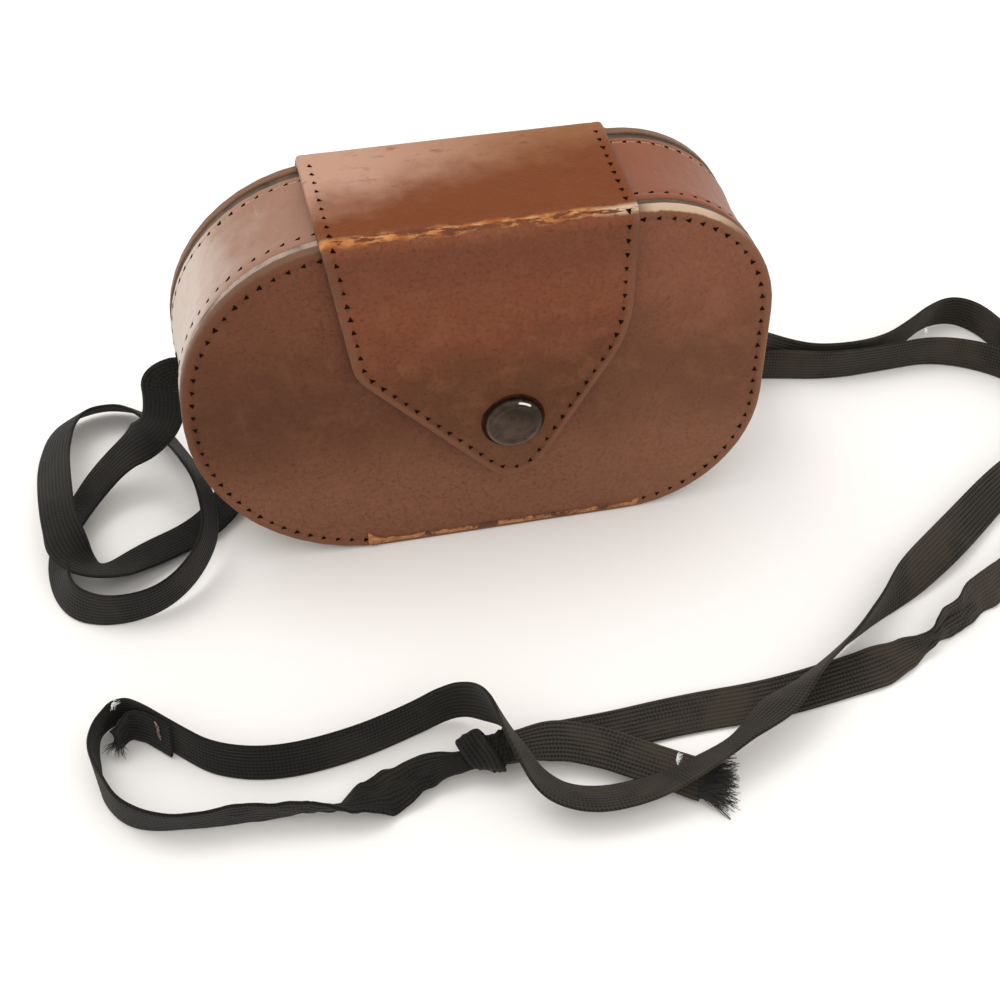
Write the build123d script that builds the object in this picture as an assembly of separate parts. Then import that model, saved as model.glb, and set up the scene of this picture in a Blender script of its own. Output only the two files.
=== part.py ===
"""Leather case for a hand-held light meter, with a flap, a press stud and a neck strap of woven tape.

Millimetres, +Z up, the case standing on its folded bottom. X runs along the case, Y from front to back.
The origin is on the bottom face, below the middle of the case. The two face panels are rounded outlines
in X and Z; a band of leather, the gusset, is sewn between them and leaves a mouth at the top, which the
flap covers.
"""
from build123d import *
import os
from math import radians, tan

# The case as a whole
case_width = 116.0
case_height = 74.5
case_depth = 30.5
corner_top_left = 33.5
side_flat_left = 3.5
corner_top_right = 27.0
corner_bottom_right = 27.5
corner_bottom_left = case_height - side_flat_left - corner_top_left

# Leather and board thicknesses
face_leather = 2.0
face_board = 2.4
gusset_leather = 1.6
gusset_lining = 0.8
flap_leather = 1.6
flap_lining = 0.6

# Mouth at the top and folded strip at the bottom, as X positions
mouth_left = -27.0
mouth_right = 27.0
strip_left = -24.0
strip_right = 33.0
strip_fold = 1.1

# Flap over the top and down the front
flap_top_clearance = 0.3
flap_front_clearance = 0.8
crease_gap = 0.1
flap_rear_left = -30.0
flap_rear_right = 30.2
flap_crease_left = -29.4
flap_crease_right = 28.7
shoulder_left = (-25.1, 46.3)
shoulder_right = (28.5, 49.3)
flap_tip = (6.75, 12.5)
shoulder_left_radius = 9.5
shoulder_right_radius = 27.0
tip_radius = 7.4

# Press stud
stud_x = 5.2
stud_z = 31.7
cap_radius = 5.75
cap_height = 1.6
cap_round = 0.9
socket_radius = 4.6
socket_bore = 3.2
spring_bore = 2.35
spring_wire = 0.4
spring_slit = 0.8
spring_overlap = 0.25
post_head_radius = 2.0
post_head_length = 0.6
post_neck_radius = 1.6
post_reach = 1.2
post_flange_radius = 3.6
post_flange = 0.5
shank_radius = 1.4
rivet_radius = 3.6
rivet_height = 0.6
metal_fit = 0.05

# Stitching
stitch_pitch = 3.0
stitch_length = 2.1
stitch_width = 0.55
stitch_height = 0.2
face_stitch_inset = 2.1
gusset_stitch_inset = 1.5
flap_stitch_inset = 2.0
seam_end_margin = 2.5

# Neck strap: woven tape, its slots in the gusset and the round stand-in for its free lengths
tape_width = 8.5
tape_thickness = 0.8
tube_radius = 1.6
slot_y = 5.0
slot_drop = 1.5
slot_length = 10.0
slot_width = 2.0
tape_stub = 0.6
tab_length = 8.0
tab_standoff = 0.7
bend_share = 0.45

# Knot, sewn join and frayed end of the strap
knot_left_x = -17.0
knot_left_z = 4.3
knot_right_x = -8.8
knot_y = -78.0
knot_over_z = 6.0
knot_under_y = -74.6
knot_under_z = 2.4
knot_width = 8.6
knot_height = 8.0
knot_end_share = 0.86
knot_lift = 0.2
join_start = (-66.5, -61.4, 4.4)
join_end = (-72.66, -54.83, 4.4)
join_fold = (-76.49, -50.75, 4.4)
fray_length = 4.5
fray_spread = 2.2

# Sizes that follow from the ones above
panel = face_leather + face_board
gusset_wall = gusset_leather + gusset_lining
flap_wall = flap_leather + flap_lining
front_y = -case_depth / 2
rear_y = case_depth / 2
inner_front_y = front_y + panel
inner_rear_y = rear_y - panel
flap_outer_y = front_y - flap_front_clearance - flap_wall
flap_inner_y = front_y - flap_front_clearance
flap_lining_y = flap_outer_y + flap_leather
flap_under_z = case_height + flap_top_clearance
flap_lining_z = flap_under_z + flap_lining
crease_y = flap_inner_y - flap_wall / 2
crease_z = flap_under_z + flap_wall / 2
rear_hinge_y = rear_y - face_leather / 2
flap_front_top = crease_z - flap_wall / 2 - crease_gap
side_x = case_width / 2
slot_z = corner_bottom_left - slot_drop

# Overshoot of cutters, and a length longer than the case
cut_over = 1.0
beyond = 2 * case_width

# Routes of the strap, point by point. The long one and the outer one are lists of nodes, end to end.
route_long = {
    "strap_left_loops": [
        (-side_x - tape_stub, slot_y, slot_z), (-65.5, slot_y, slot_z), (-64.8, 9.5, 24.5),
        (-68.5, 13.8, 13.5), (-75.8, 12.6, 7.0), (-83.0, 4.0, 4.2), (-88.3, -8.5, 4.0), (-86.5, -21.5, 4.0),
        (-77.5, -27.0, 4.0), (-66.0, -25.0, 4.6), (-57.0, -17.0, 8.5), (-55.8, -4.0, 10.0),
        (-58.5, 9.0, 8.0), (-62.0, 20.5, 5.0), (-68.0, 35.2, 4.0), (-77.0, 39.5, 4.0), (-85.4, 34.6, 4.6),
        (-87.4, 19.5, 7.6), (-87.0, 6.5, 10.4), (-86.2, -5.5, 10.4), (-83.8, -14.0, 8.0),
        (-77.6, -16.0, 4.6), (-69.0, -10.5, 4.0), (-57.5, -5.0, 3.6), (-51.0, 3.0, 3.5), (-47.0, 13.0, 3.5),
    ],
    "strap_behind_case": [
        (-39.0, 21.5, 3.6), (-26.0, 25.5, 3.8), (-8.0, 24.5, 4.0), (12.0, 26.0, 4.0), (33.0, 24.5, 4.0),
        (55.0, 25.0, 4.0), (75.0, 21.9, 4.0),
    ],
    "strap_right_inner": [
        (88.7, 17.5, 4.0), (102.0, 17.6, 4.2), (115.0, 18.1, 4.2), (127.0, 11.5, 4.0), (133.5, 1.5, 4.0),
        (133.0, -10.5, 4.0), (123.0, -21.0, 4.0), (109.3, -29.4, 4.0), (92.1, -42.6, 4.0),
    ],
    "strap_front_long": [
        (74.0, -55.0, 4.4), (61.0, -65.2, 6.0), (50.0, -72.9, 9.0), (41.0, -79.7, 9.5), (32.4, -85.5, 8.4),
        (22.6, -90.3, 8.6), (12.5, -94.5, 7.6), (2.5, -93.5, 4.8), (-5.0, -89.0, 7.2), (-8.3, -82.0, 12.2),
        (-10.0, -74.0, 12.2), (-11.5, -67.0, 7.2), (-16.5, -63.0, 4.6), (-24.5, -66.2, 4.5),
        (-36.5, -70.0, 4.5), (-50.0, -71.3, 4.5), (-60.5, -67.8, 4.4), join_start,
    ],
}
route_outer = {
    "strap_right_outer": [
        (side_x + tape_stub, slot_y, slot_z), (65.5, slot_y, slot_z), (67.5, 14.5, 28.0),
        (70.5, 25.0, 15.5), (78.5, 28.5, 6.5), (90.0, 25.6, 4.3), (102.0, 24.8, 4.3), (111.0, 27.8, 4.3),
        (119.5, 31.5, 4.3), (127.5, 31.0, 4.3), (132.3, 24.0, 4.3), (135.0, 13.5, 4.3), (140.5, 2.0, 4.3),
        (142.5, -12.0, 4.3), (138.5, -26.0, 4.3), (128.5, -38.0, 4.3), (114.0, -48.0, 4.3),
        (96.5, -56.5, 4.0),
    ],
    "strap_front_under": [
        (84.0, -62.4, 3.6), (72.0, -67.3, 2.6), (58.5, -71.8, 2.1), (43.0, -73.9, 2.0), (26.0, -73.7, 2.0),
        (9.0, -75.0, 2.1), (knot_right_x + tape_width, knot_under_y, knot_under_z),
        (knot_right_x, knot_under_y, knot_under_z),
    ],
}
route_short = [
    join_end, join_fold, (-81.8, -54.6, 4.4), (-83.0, -62.3, 4.4), (-81.3, -70.5, 4.4),
    (-76.8, -77.2, 4.3), (-68.5, -80.3, 4.1), (-55.0, -80.4, 4.0), (-41.0, -82.3, 4.0),
    (-30.0, -80.6, 4.1), (knot_left_x - tape_width, knot_y, knot_left_z),
    (knot_left_x, knot_y, knot_left_z),
]
route_tail = [
    (knot_right_x, knot_y, knot_over_z), (knot_right_x + tape_width, knot_y, knot_over_z),
    (7.5, -80.6, 4.6), (14.6, -84.2, 3.0), (21.0, -88.0, 2.4), (25.0, -90.9, 2.4),
]


def slab(face, y_low, y_high):
    """Solid of a face drawn in X and Z, from y_low to y_high."""
    return extrude(Plane.XZ.offset(-y_high) * face, y_high - y_low)


def outline(inset=0.0):
    """Face of the case seen from the front, drawn in by inset all round."""
    left, right = inset - side_x, side_x - inset
    bottom, top = inset, case_height - inset
    r_tl, r_tr = corner_top_left - inset, corner_top_right - inset
    r_bl, r_br = corner_bottom_left - inset, corner_bottom_right - inset
    return make_face([
        Line((left + r_bl, bottom), (right - r_br, bottom)),
        CenterArc((right - r_br, bottom + r_br), r_br, -90, 90),
        Line((right, bottom + r_br), (right, top - r_tr)),
        CenterArc((right - r_tr, top - r_tr), r_tr, 0, 90),
        Line((right - r_tr, top), (left + r_tl, top)),
        CenterArc((left + r_tl, top - r_tl), r_tl, 90, 90),
        Line((left, top - r_tl), (left, bottom + r_bl)),
        CenterArc((left + r_bl, bottom + r_bl), r_bl, 180, 90),
    ])


def block(low, high):
    """Box from its lowest to its highest corner."""
    size = [b - a for a, b in zip(low, high)]
    return Pos(*low) * Box(*size, align=(Align.MIN, Align.MIN, Align.MIN))


def disc(radius, y_low, y_high, bore=0.0):
    """Round piece of the press stud, on the stud's axis, with an optional bore."""
    face = Pos(stud_x, stud_z) * Circle(radius)
    if bore:
        face -= Pos(stud_x, stud_z) * Circle(bore)
    return slab(face, y_low, y_high)


def face_panels():
    """Front and rear panels: leather outside, board inside, notched over the folded bottom strip."""
    notch = block((strip_left, -case_depth, -cut_over), (strip_right, case_depth, gusset_leather))
    shank_hole = disc(shank_radius + metal_fit, front_y - cut_over, inner_front_y + cut_over)
    layers = {
        "front_panel": (front_y, front_y + face_leather),
        "front_board": (front_y + face_leather, inner_front_y),
        "rear_board": (inner_rear_y, rear_y - face_leather),
        "rear_panel": (rear_y - face_leather, rear_y),
    }
    return {name: slab(outline(), *span) - notch - shank_hole for name, span in layers.items()}


def band(outer_inset, inner_inset):
    """Gusset layer as its left and right parts, open at the mouth and over the bottom strip."""
    loop = outline(outer_inset) - outline(inner_inset)
    mouth = Rectangle(mouth_right - mouth_left, case_height)
    bottom = Rectangle(strip_right - strip_left, case_height)
    loop -= Pos((mouth_left + mouth_right) / 2, case_height) * mouth
    loop -= Pos((strip_left + strip_right) / 2, 0) * bottom
    solid = slab(loop, inner_front_y, inner_rear_y)
    for side in (-1, 1):
        solid -= strap_slot(side)
    left, right = sorted(solid.solids(), key=lambda s: s.center().X)
    return left, right


def strap_slot(side):
    """Cutter for the upright slot that the tape comes out of, at the left or right end."""
    return block(
        (side * side_x - corner_top_left / 2, slot_y - slot_width / 2, slot_z - slot_length / 2),
        (side * side_x + corner_top_left / 2, slot_y + slot_width / 2, slot_z + slot_length / 2))


def bottom_pieces():
    """Folded strip that closes the bottom, and its lining between the boards."""
    strip = block((strip_left, front_y, 0), (strip_right, rear_y, gusset_leather))
    folds = strip.edges().filter_by(Axis.X).group_by(Axis.Z)[0]
    lining = block((strip_left, inner_front_y, gusset_leather), (strip_right, inner_rear_y, gusset_wall))
    return {"bottom_strip": fillet(folds, strip_fold), "bottom_lining": lining}


def flap_front_face(inset=0.0):
    """Outline of the flap's hanging part, from the crease down to its rounded tip."""
    chain = FilletPolyline(
        (flap_crease_left, flap_front_top), shoulder_left, flap_tip, shoulder_right,
        (flap_crease_right, flap_front_top),
        radius=[shoulder_left_radius, tip_radius, shoulder_right_radius])
    face = make_face(list(chain.edges()) + [Line(chain @ 1, chain @ 0)])
    return offset(face, -inset) if inset else face


def flap_top_plan():
    """Plan of the flap's flat top, a little narrower at the front crease."""
    front, rear = crease_y - flap_wall / 2, rear_hinge_y + flap_wall / 2
    return make_face(Polyline(
        (flap_crease_left, front), (flap_crease_right, front), (flap_rear_right, rear),
        (flap_rear_left, rear), close=True))


def flap_pieces():
    """Flap in two parts, leather over lining, with round ends on the two crease lines."""
    length = rear_hinge_y - crease_y
    centre_y = (rear_hinge_y + crease_y) / 2
    profile = Pos(centre_y, crease_z) * SlotCenterToCenter(length, flap_wall)
    stadium = Plane.YZ.offset(-beyond / 2) * profile
    top = extrude(stadium, beyond)
    top &= extrude(Plane.XY.offset(flap_under_z) * flap_top_plan(), flap_wall)
    split = block((-beyond, -beyond, flap_lining_z), (beyond, beyond, flap_lining_z + beyond))
    hole = disc(socket_radius + metal_fit, flap_outer_y - cut_over, flap_inner_y + cut_over)
    front = flap_front_face()
    return {
        "flap_top": top & split,
        "flap_top_lining": top - split,
        "flap_front": slab(front, flap_outer_y, flap_lining_y) - hole,
        "flap_front_lining": slab(front, flap_lining_y, flap_inner_y) - hole,
    }


def stud_pieces():
    """Press stud: cap, socket and spring ring on the flap, post and rivet washer on the front panel."""
    cap = disc(cap_radius, flap_outer_y - cap_height, flap_outer_y)
    rim = cap.edges().group_by(Axis.Y)[0]
    post_tip_y = flap_inner_y - post_reach
    spring_y = post_tip_y + spring_overlap
    spring = disc(socket_bore - metal_fit, spring_y - spring_wire, spring_y, bore=spring_bore)
    spring -= block(
        (stud_x - spring_slit / 2, flap_outer_y, stud_z - socket_radius),
        (stud_x + spring_slit / 2, flap_inner_y, stud_z))
    flange_y = front_y - post_flange
    rivet_y = inner_front_y + rivet_height
    post = disc(post_flange_radius, flange_y, front_y)
    post += disc(post_neck_radius, post_tip_y, front_y)
    post += disc(post_head_radius, post_tip_y, post_tip_y + post_head_length)
    post += disc(shank_radius, front_y, rivet_y)
    return {
        "stud_cap": fillet(rim, cap_round),
        "stud_socket": disc(socket_radius, flap_outer_y, flap_inner_y, bore=socket_bore),
        "stud_spring": spring,
        "stud_post": post,
        "stud_rivet": disc(rivet_radius, inner_front_y, rivet_y, bore=shank_radius + metal_fit),
    }


def stitch(place, tangent, normal):
    """One thread of a seam, lying on the leather."""
    upright = (Align.CENTER, Align.CENTER, Align.MIN)
    thread = Box(stitch_length, stitch_width, stitch_height, align=upright)
    return Plane(origin=place, x_dir=tangent, z_dir=normal) * thread


def seam(wire, keep, normal_of):
    """Threads at the stitch pitch along a wire, where keep says that the seam runs."""
    count = round(wire.length / stitch_pitch)
    threads = []
    for index in range(count):
        share = (index + 0.5) / count
        place, tangent = wire.position_at(share), wire.tangent_at(share)
        if keep(place):
            threads.append(stitch(place, tangent, normal_of(tangent)))
    return Compound(children=threads)


def off_strip(place):
    """True where a face seam runs: all round but for the folded bottom."""
    low = place.Z < case_height / 2
    return not (low and strip_left - seam_end_margin < place.X < strip_right + seam_end_margin)


def on_gusset(place):
    """True where a gusset seam runs: clear of the mouth, the bottom strip and the ground."""
    if place.Z > case_height / 2:
        return not mouth_left - seam_end_margin < place.X < mouth_right + seam_end_margin
    return off_strip(place) and place.Z > 2 * stitch_height


def outward(tangent):
    """Outward direction of the gusset at a point of its outline, from the outline's tangent."""
    return Vector(tangent.Z, 0, -tangent.X)


def ring(inset, y):
    """Closed wire of the outline, drawn in by inset, at a depth y."""
    return (Plane.XZ.offset(-y) * outline(inset)).faces()[0].outer_wire()


def case_seams():
    """Rows of stitches on both faces and along both edges of the gusset."""
    front_ring, rear_ring = ring(face_stitch_inset, front_y), ring(face_stitch_inset, rear_y)
    front_edge = ring(0.0, inner_front_y + gusset_stitch_inset)
    rear_edge = ring(0.0, inner_rear_y - gusset_stitch_inset)
    return {
        "front_panel_stitches": seam(front_ring, off_strip, lambda t: Vector(0, -1, 0)),
        "rear_panel_stitches": seam(rear_ring, off_strip, lambda t: Vector(0, 1, 0)),
        "gusset_front_stitches": seam(front_edge, on_gusset, outward),
        "gusset_rear_stitches": seam(rear_edge, on_gusset, outward),
    }


def flap_seams():
    """Rows of stitches along the edges of the flap's top and its hanging part."""
    face = Plane.XZ.offset(-flap_outer_y) * flap_front_face(flap_stitch_inset)
    front = face.faces()[0].outer_wire()
    limit = flap_front_top - flap_stitch_inset - stitch_pitch / 2
    top_z = flap_under_z + flap_wall
    sides = [
        (flap_crease_left + flap_stitch_inset, flap_rear_left + flap_stitch_inset),
        (flap_crease_right - flap_stitch_inset, flap_rear_right - flap_stitch_inset),
    ]
    threads = []
    for crease_x, rear_x in sides:
        line = Wire([Edge.make_line((crease_x, crease_y, top_z), (rear_x, rear_hinge_y, top_z))])
        threads += seam(line, lambda p: True, lambda t: Vector(0, 0, 1)).solids()
    return {
        "flap_front_stitches": seam(front, lambda p: p.Z < limit, lambda t: Vector(0, -1, 0)),
        "flap_top_stitches": Compound(children=threads),
    }


def tape_end(side):
    """Tape through the slot at one end, with a tab turned towards the front inside the case."""
    outer_x = side_x + tape_stub
    inner_x = side_x - gusset_wall - tab_standoff
    y_low, y_high = slot_y - tape_thickness / 2, slot_y + tape_thickness / 2
    z_low, z_high = slot_z - tape_width / 2, slot_z + tape_width / 2
    through = block((inner_x - tape_thickness, y_low, z_low), (outer_x, y_high, z_high))
    tab = block((inner_x - tape_thickness, y_low - tab_length, z_low), (inner_x, y_high, z_high))
    end = through + tab
    return end if side > 0 else mirror(end, about=Plane.YZ)


def corner_radii(points):
    """Arc radius at each corner of a route: as large as the two runs beside it allow."""
    radii = []
    for before, here, after in zip(points, points[1:], points[2:]):
        arriving, leaving = here - before, after - here
        shorter = min(arriving.length, leaving.length)
        radii.append(bend_share * shorter / tan(radians(arriving.get_angle(leaving)) / 2))
    return radii


def tube(name, points):
    """Round tube along runs joined by tangent arcs, with its radii and its volume check printed."""
    points = [Vector(p) for p in points]
    radii = corner_radii(points)
    path = FilletPolyline(*points, radius=radii)
    section = Plane(origin=path @ 0, z_dir=path % 0) * Circle(tube_radius)
    solid = sweep(section, path=path)
    expected = section.area * path.length
    print(name, "length", round(path.length, 1), "radii", [round(r, 1) for r in radii],
          "volume ratio", round(solid.volume / expected, 4), "self gap", self_gap(path))
    return solid


def self_gap(path):
    """Least gap between a tube and a stretch of itself that is three diameters on, or farther."""
    count = int(path.length / tube_radius)
    places = [path.position_at(i / count) for i in range(count + 1)]
    apart = 7
    gaps = [(places[j] - places[i]).length for i in range(count) for j in range(i + apart, count + 1)]
    return round(min(gaps) - 2 * tube_radius, 2) if gaps else None


def stretches(route):
    """Tubes of a route's nodes, which meet face to face halfway between their nearest points."""
    names, parts = list(route), [[Vector(p) for p in points] for points in route.values()]
    joints = [(before[-1] + after[0]) / 2 for before, after in zip(parts, parts[1:])]
    for joint, before, after in zip(joints, parts, parts[1:]):
        before.append(joint)
        after.insert(0, joint)
    return {name: tube(name, points) for name, points in zip(names, parts)}


def knot():
    """Overhand knot as a short barrel with flat ends, which the strap's three runs meet."""
    length = knot_right_x - knot_left_x
    centre_y, centre_z = (knot_y + knot_under_y) / 2, knot_lift + knot_height / 2
    sections = []
    for share, scale in ((0.0, knot_end_share), (0.5, 1.0), (1.0, knot_end_share)):
        origin = (knot_left_x + share * length, centre_y, centre_z)
        frame = Plane(origin=origin, x_dir=(0, 1, 0), z_dir=(1, 0, 0))
        width, height = knot_width * scale, knot_height * scale
        sections.append(frame * RectangleRounded(width, height, height / 4))
    return loft(sections, ruled=True)


def sewn_join():
    """Two layers of tape sewn together where the strap was mended, standing on edge."""
    start, end = Vector(join_start), Vector(join_end)
    along = end - start
    frame = Plane(origin=(start + end) / 2, x_dir=along, z_dir=(0, 0, 1))
    return frame * Box(along.length, 2 * tube_radius, tape_width)


def frayed_end():
    """Brush of loose threads at the strap's free end, as a flat cone."""
    tip, before = Vector(route_tail[-1]), Vector(route_tail[-2])
    along = (tip - before).normalized()
    near = Plane(origin=tip, z_dir=along) * Circle(tube_radius)
    far = Plane(origin=tip + along * fray_length, z_dir=along) * Circle(fray_spread)
    return loft([near, far], ruled=True)


def build():
    """All pieces of the case by node name."""
    pieces = face_panels()
    pieces["gusset_left"], pieces["gusset_right"] = band(0.0, gusset_leather)
    pieces["gusset_lining_left"], pieces["gusset_lining_right"] = band(gusset_leather, gusset_wall)
    pieces |= bottom_pieces()
    pieces |= flap_pieces()
    pieces |= stud_pieces()
    pieces |= case_seams()
    pieces |= flap_seams()
    pieces["strap_end_left"] = tape_end(-1)
    pieces["strap_end_right"] = tape_end(1)
    pieces |= stretches(route_long)
    pieces |= stretches(route_outer)
    pieces["strap_front_short"] = tube("strap_front_short", route_short)
    pieces["strap_tail"] = tube("strap_tail", route_tail)
    pieces["strap_knot"] = knot()
    pieces["strap_join"] = sewn_join()
    pieces["strap_fray"] = frayed_end()
    return pieces


os.makedirs("parts", exist_ok=True)
for node, shape in build().items():
    export_step(shape, f"parts/{node}.step")
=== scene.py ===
"""Looks of an old leather light meter case with a snap flap and a knotted woven neck strap.

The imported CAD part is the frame. Each sub-assembly below is a class that holds its own sizes in
millimetres, builds its meshes in the frame's place and dresses them in procedural finishes.
"""

import logging
import math
import random
from dataclasses import dataclass
from enum import Enum
from typing import Callable, Iterable, Optional, Sequence, Union

import bmesh
import bpy
from mathutils import Matrix, Vector, noise

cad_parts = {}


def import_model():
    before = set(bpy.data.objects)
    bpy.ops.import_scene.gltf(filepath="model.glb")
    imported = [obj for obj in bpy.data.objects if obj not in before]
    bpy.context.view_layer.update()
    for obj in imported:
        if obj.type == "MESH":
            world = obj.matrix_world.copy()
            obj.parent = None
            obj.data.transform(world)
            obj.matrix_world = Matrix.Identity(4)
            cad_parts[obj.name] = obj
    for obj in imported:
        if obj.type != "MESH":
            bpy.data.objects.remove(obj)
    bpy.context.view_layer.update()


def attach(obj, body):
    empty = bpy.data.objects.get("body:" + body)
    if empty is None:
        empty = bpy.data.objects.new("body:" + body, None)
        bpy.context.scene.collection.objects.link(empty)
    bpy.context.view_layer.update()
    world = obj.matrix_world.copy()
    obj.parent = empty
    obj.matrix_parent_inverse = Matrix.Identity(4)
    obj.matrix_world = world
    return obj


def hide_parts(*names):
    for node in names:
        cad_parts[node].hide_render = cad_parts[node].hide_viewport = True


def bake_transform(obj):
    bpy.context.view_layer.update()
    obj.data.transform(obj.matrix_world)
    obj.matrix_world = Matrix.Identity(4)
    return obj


log = logging.getLogger("meter_case")
MM = 0.001
UP = Vector((0, 0, 1))
Point2 = tuple[float, float]


# ---------------------------------------------------------------- small modelling helpers

def deselect_all() -> None:
    """Leave object mode with nothing selected."""
    if bpy.context.object and bpy.context.object.mode != "OBJECT":
        bpy.ops.object.mode_set(mode="OBJECT")
    bpy.ops.object.select_all(action="DESELECT")


def enter_edit(piece: bpy.types.Object) -> None:
    """Make a piece the only selected one and enter edit mode on it.

    Args:
        piece: the piece to work on.
    """
    deselect_all()
    piece.select_set(True)
    bpy.context.view_layer.objects.active = piece
    bpy.ops.object.mode_set(mode="EDIT")


def leave_edit() -> None:
    """Go back to object mode."""
    bpy.ops.object.mode_set(mode="OBJECT")


def named(piece: bpy.types.Object, name: str) -> bpy.types.Object:
    """Name a piece and its mesh.

    Args:
        piece: the piece to work on.
        name: its new name.

    Returns:
        The same piece.
    """
    piece.name = name
    piece.data.name = name
    return piece


def soften(piece: bpy.types.Object, degrees: float = 40.0) -> None:
    """Smooth shading with sharp edges kept above an angle.

    Args:
        piece: the piece to work on.
        degrees: the angle above which an edge stays sharp.
    """
    deselect_all()
    piece.select_set(True)
    bpy.context.view_layer.objects.active = piece
    bpy.ops.object.shade_smooth_by_angle(angle=math.radians(degrees))


def face_outwards(piece: bpy.types.Object) -> None:
    """Turn a closed shell's faces outwards.

    Args:
        piece: the piece to work on.
    """
    enter_edit(piece)
    bpy.ops.mesh.select_all(action="SELECT")
    bpy.ops.mesh.normals_make_consistent(inside=False)
    leave_edit()


def slice_sheet(piece: bpy.types.Object, axis: int, places: Iterable[float]) -> None:
    """Cut a flat sheet by planes across one axis, so that it can bend and carry fine marks.

    Args:
        piece: the flat sheet, in mm.
        axis: 0 across x, 1 across the sheet's length.
        places: where the planes stand.
    """
    enter_edit(piece)
    normal = (1, 0, 0) if axis == 0 else (0, 1, 0)
    for place in places:
        bpy.ops.mesh.select_all(action="SELECT")
        where = (place, 0, 0) if axis == 0 else (0, place, 0)
        bpy.ops.mesh.bisect(plane_co=where, plane_no=normal)
    leave_edit()


def lay_out(piece: bpy.types.Object, place: Callable[[float, float, float], Vector]) -> None:
    """Move every vertex from flat millimetres to its place on the object, in metres.

    Args:
        piece: the piece to work on.
        place: gives the place in mm for x, the flat length and the height.
    """
    for vertex in piece.data.vertices:
        vertex.co = place(*vertex.co) * MM
    piece.data.update()


def flat_uv(piece: bpy.types.Object) -> None:
    """Keep the flat layout, in mm, as the piece's UV map, so patterns follow the hide when it bends.

    Args:
        piece: the piece to work on.
    """
    layer = piece.data.uv_layers.active or piece.data.uv_layers.new(name="flat")
    for loop in piece.data.loops:
        co = piece.data.vertices[loop.vertex_index].co
        layer.data[loop.index].uv = (co.x, co.y)


def edge_distance(piece: bpy.types.Object, border: Sequence[Point2]) -> None:
    """Store each vertex's distance from the cut edge, in mm, as the attribute `rim`.

    Args:
        piece: the flat sheet, in mm.
        border: its cut edge, a closed line.
    """
    attribute = piece.data.attributes.new("rim", "FLOAT", "POINT")
    pairs = [(Vector(a), Vector(b)) for a, b in zip(border, list(border[1:]) + [border[0]])]
    for vertex in piece.data.vertices:
        here = Vector((vertex.co.x, vertex.co.y))
        best = 1e9
        for a, b in pairs:
            run = b - a
            t = max(0.0, min(1.0, (here - a).dot(run) / max(run.length_squared, 1e-9)))
            best = min(best, (here - a - run * t).length_squared)
        attribute.data[vertex.index].value = math.sqrt(best)


def cut_sheet(name: str, border: Sequence[Point2], profile: Sequence[tuple[float, float]],
              thickness: float) -> bpy.types.Object:
    """Cut one sheet of leather flat, with a shaped rim and its inner face.

    Args:
        name: the piece's name.
        border: the outline in mm, counter-clockwise.
        profile: steps of (inset, height gained) from the edge inwards.
        thickness: the sheet's thickness in mm; the inner face gets material slot 1.

    Returns:
        The closed flat sheet: x across, y along, z its height above the outer face.
    """
    deselect_all()
    start = -sum(step[1] for step in profile)
    bpy.ops.mesh.primitive_circle_add(vertices=len(border), radius=1, fill_type="NGON")
    piece = named(bpy.context.object, name)
    for vertex, (x, y) in zip(piece.data.vertices, border):
        vertex.co = (x, y, start)
    enter_edit(piece)
    bpy.ops.mesh.select_all(action="SELECT")
    for inset, rise in profile:
        bpy.ops.mesh.inset(thickness=inset, depth=rise, use_boundary=True, use_even_offset=True)
    bpy.ops.mesh.select_all(action="DESELECT")
    bpy.ops.mesh.select_mode(type="EDGE")
    bpy.ops.mesh.select_non_manifold()
    bpy.ops.mesh.extrude_region_move(TRANSFORM_OT_translate={"value": (0, 0, -thickness - start + 0.25)})
    bpy.ops.mesh.extrude_region_move(TRANSFORM_OT_translate={"value": (0, 0, -0.25)})
    bpy.ops.mesh.edge_face_add()
    bpy.ops.mesh.select_mode(type="VERT")
    leave_edit()
    for face in piece.data.polygons:
        face.material_index = 1 if all(
            piece.data.vertices[i].co.z < -thickness + 0.01 for i in face.vertices) else 0
    return piece


def rounded(corners: Sequence[tuple[float, float, float]], step: float = 1.2) -> list[Point2]:
    """A closed outline with rounded corners.

    Args:
        corners: (x, y, radius) of each corner, counter-clockwise.
        step: spacing of the points, in mm.

    Returns:
        Evenly spaced points along the outline.
    """
    rough: list[Vector] = []
    count = len(corners)
    for i, (x, y, radius) in enumerate(corners):
        here = Vector((x, y))
        before = (Vector(corners[i - 1][:2]) - here).normalized()
        after = (Vector(corners[(i + 1) % count][:2]) - here).normalized()
        half = before.angle(after) / 2
        reach = radius / math.tan(half)
        centre = here + (before + after).normalized() * (radius / math.sin(half))
        a, b = here + before * reach - centre, here + after * reach - centre
        turn = math.pi - 2 * half
        for k in range(13):
            t = k / 12
            mix = (a * math.sin((1 - t) * turn) + b * math.sin(t * turn)) / max(math.sin(turn), 1e-6)
            rough.append(centre + mix)
    return walk([tuple(p) for p in rough], step)


def walk(line: Sequence[Point2], step: float, closed: bool = True) -> list[Point2]:
    """Points at an even spacing along a line.

    Args:
        line: the line's corners.
        step: the spacing to come near to.
        closed: True when the last corner joins the first.

    Returns:
        The evenly spaced points.
    """
    points = [Vector(p) for p in line] + ([Vector(line[0])] if closed else [])
    total = sum((b - a).length for a, b in zip(points, points[1:]))
    count = max(3, round(total / step))
    gap, out, gone, target = total / count, [], 0.0, 0.0
    for a, b in zip(points, points[1:]):
        run = (b - a).length
        while run > 0 and target <= gone + run + 1e-9 and len(out) < count + (0 if closed else 1):
            out.append(tuple(a + (b - a) * ((target - gone) / run)))
            target += gap
        gone += run
    return out


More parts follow.
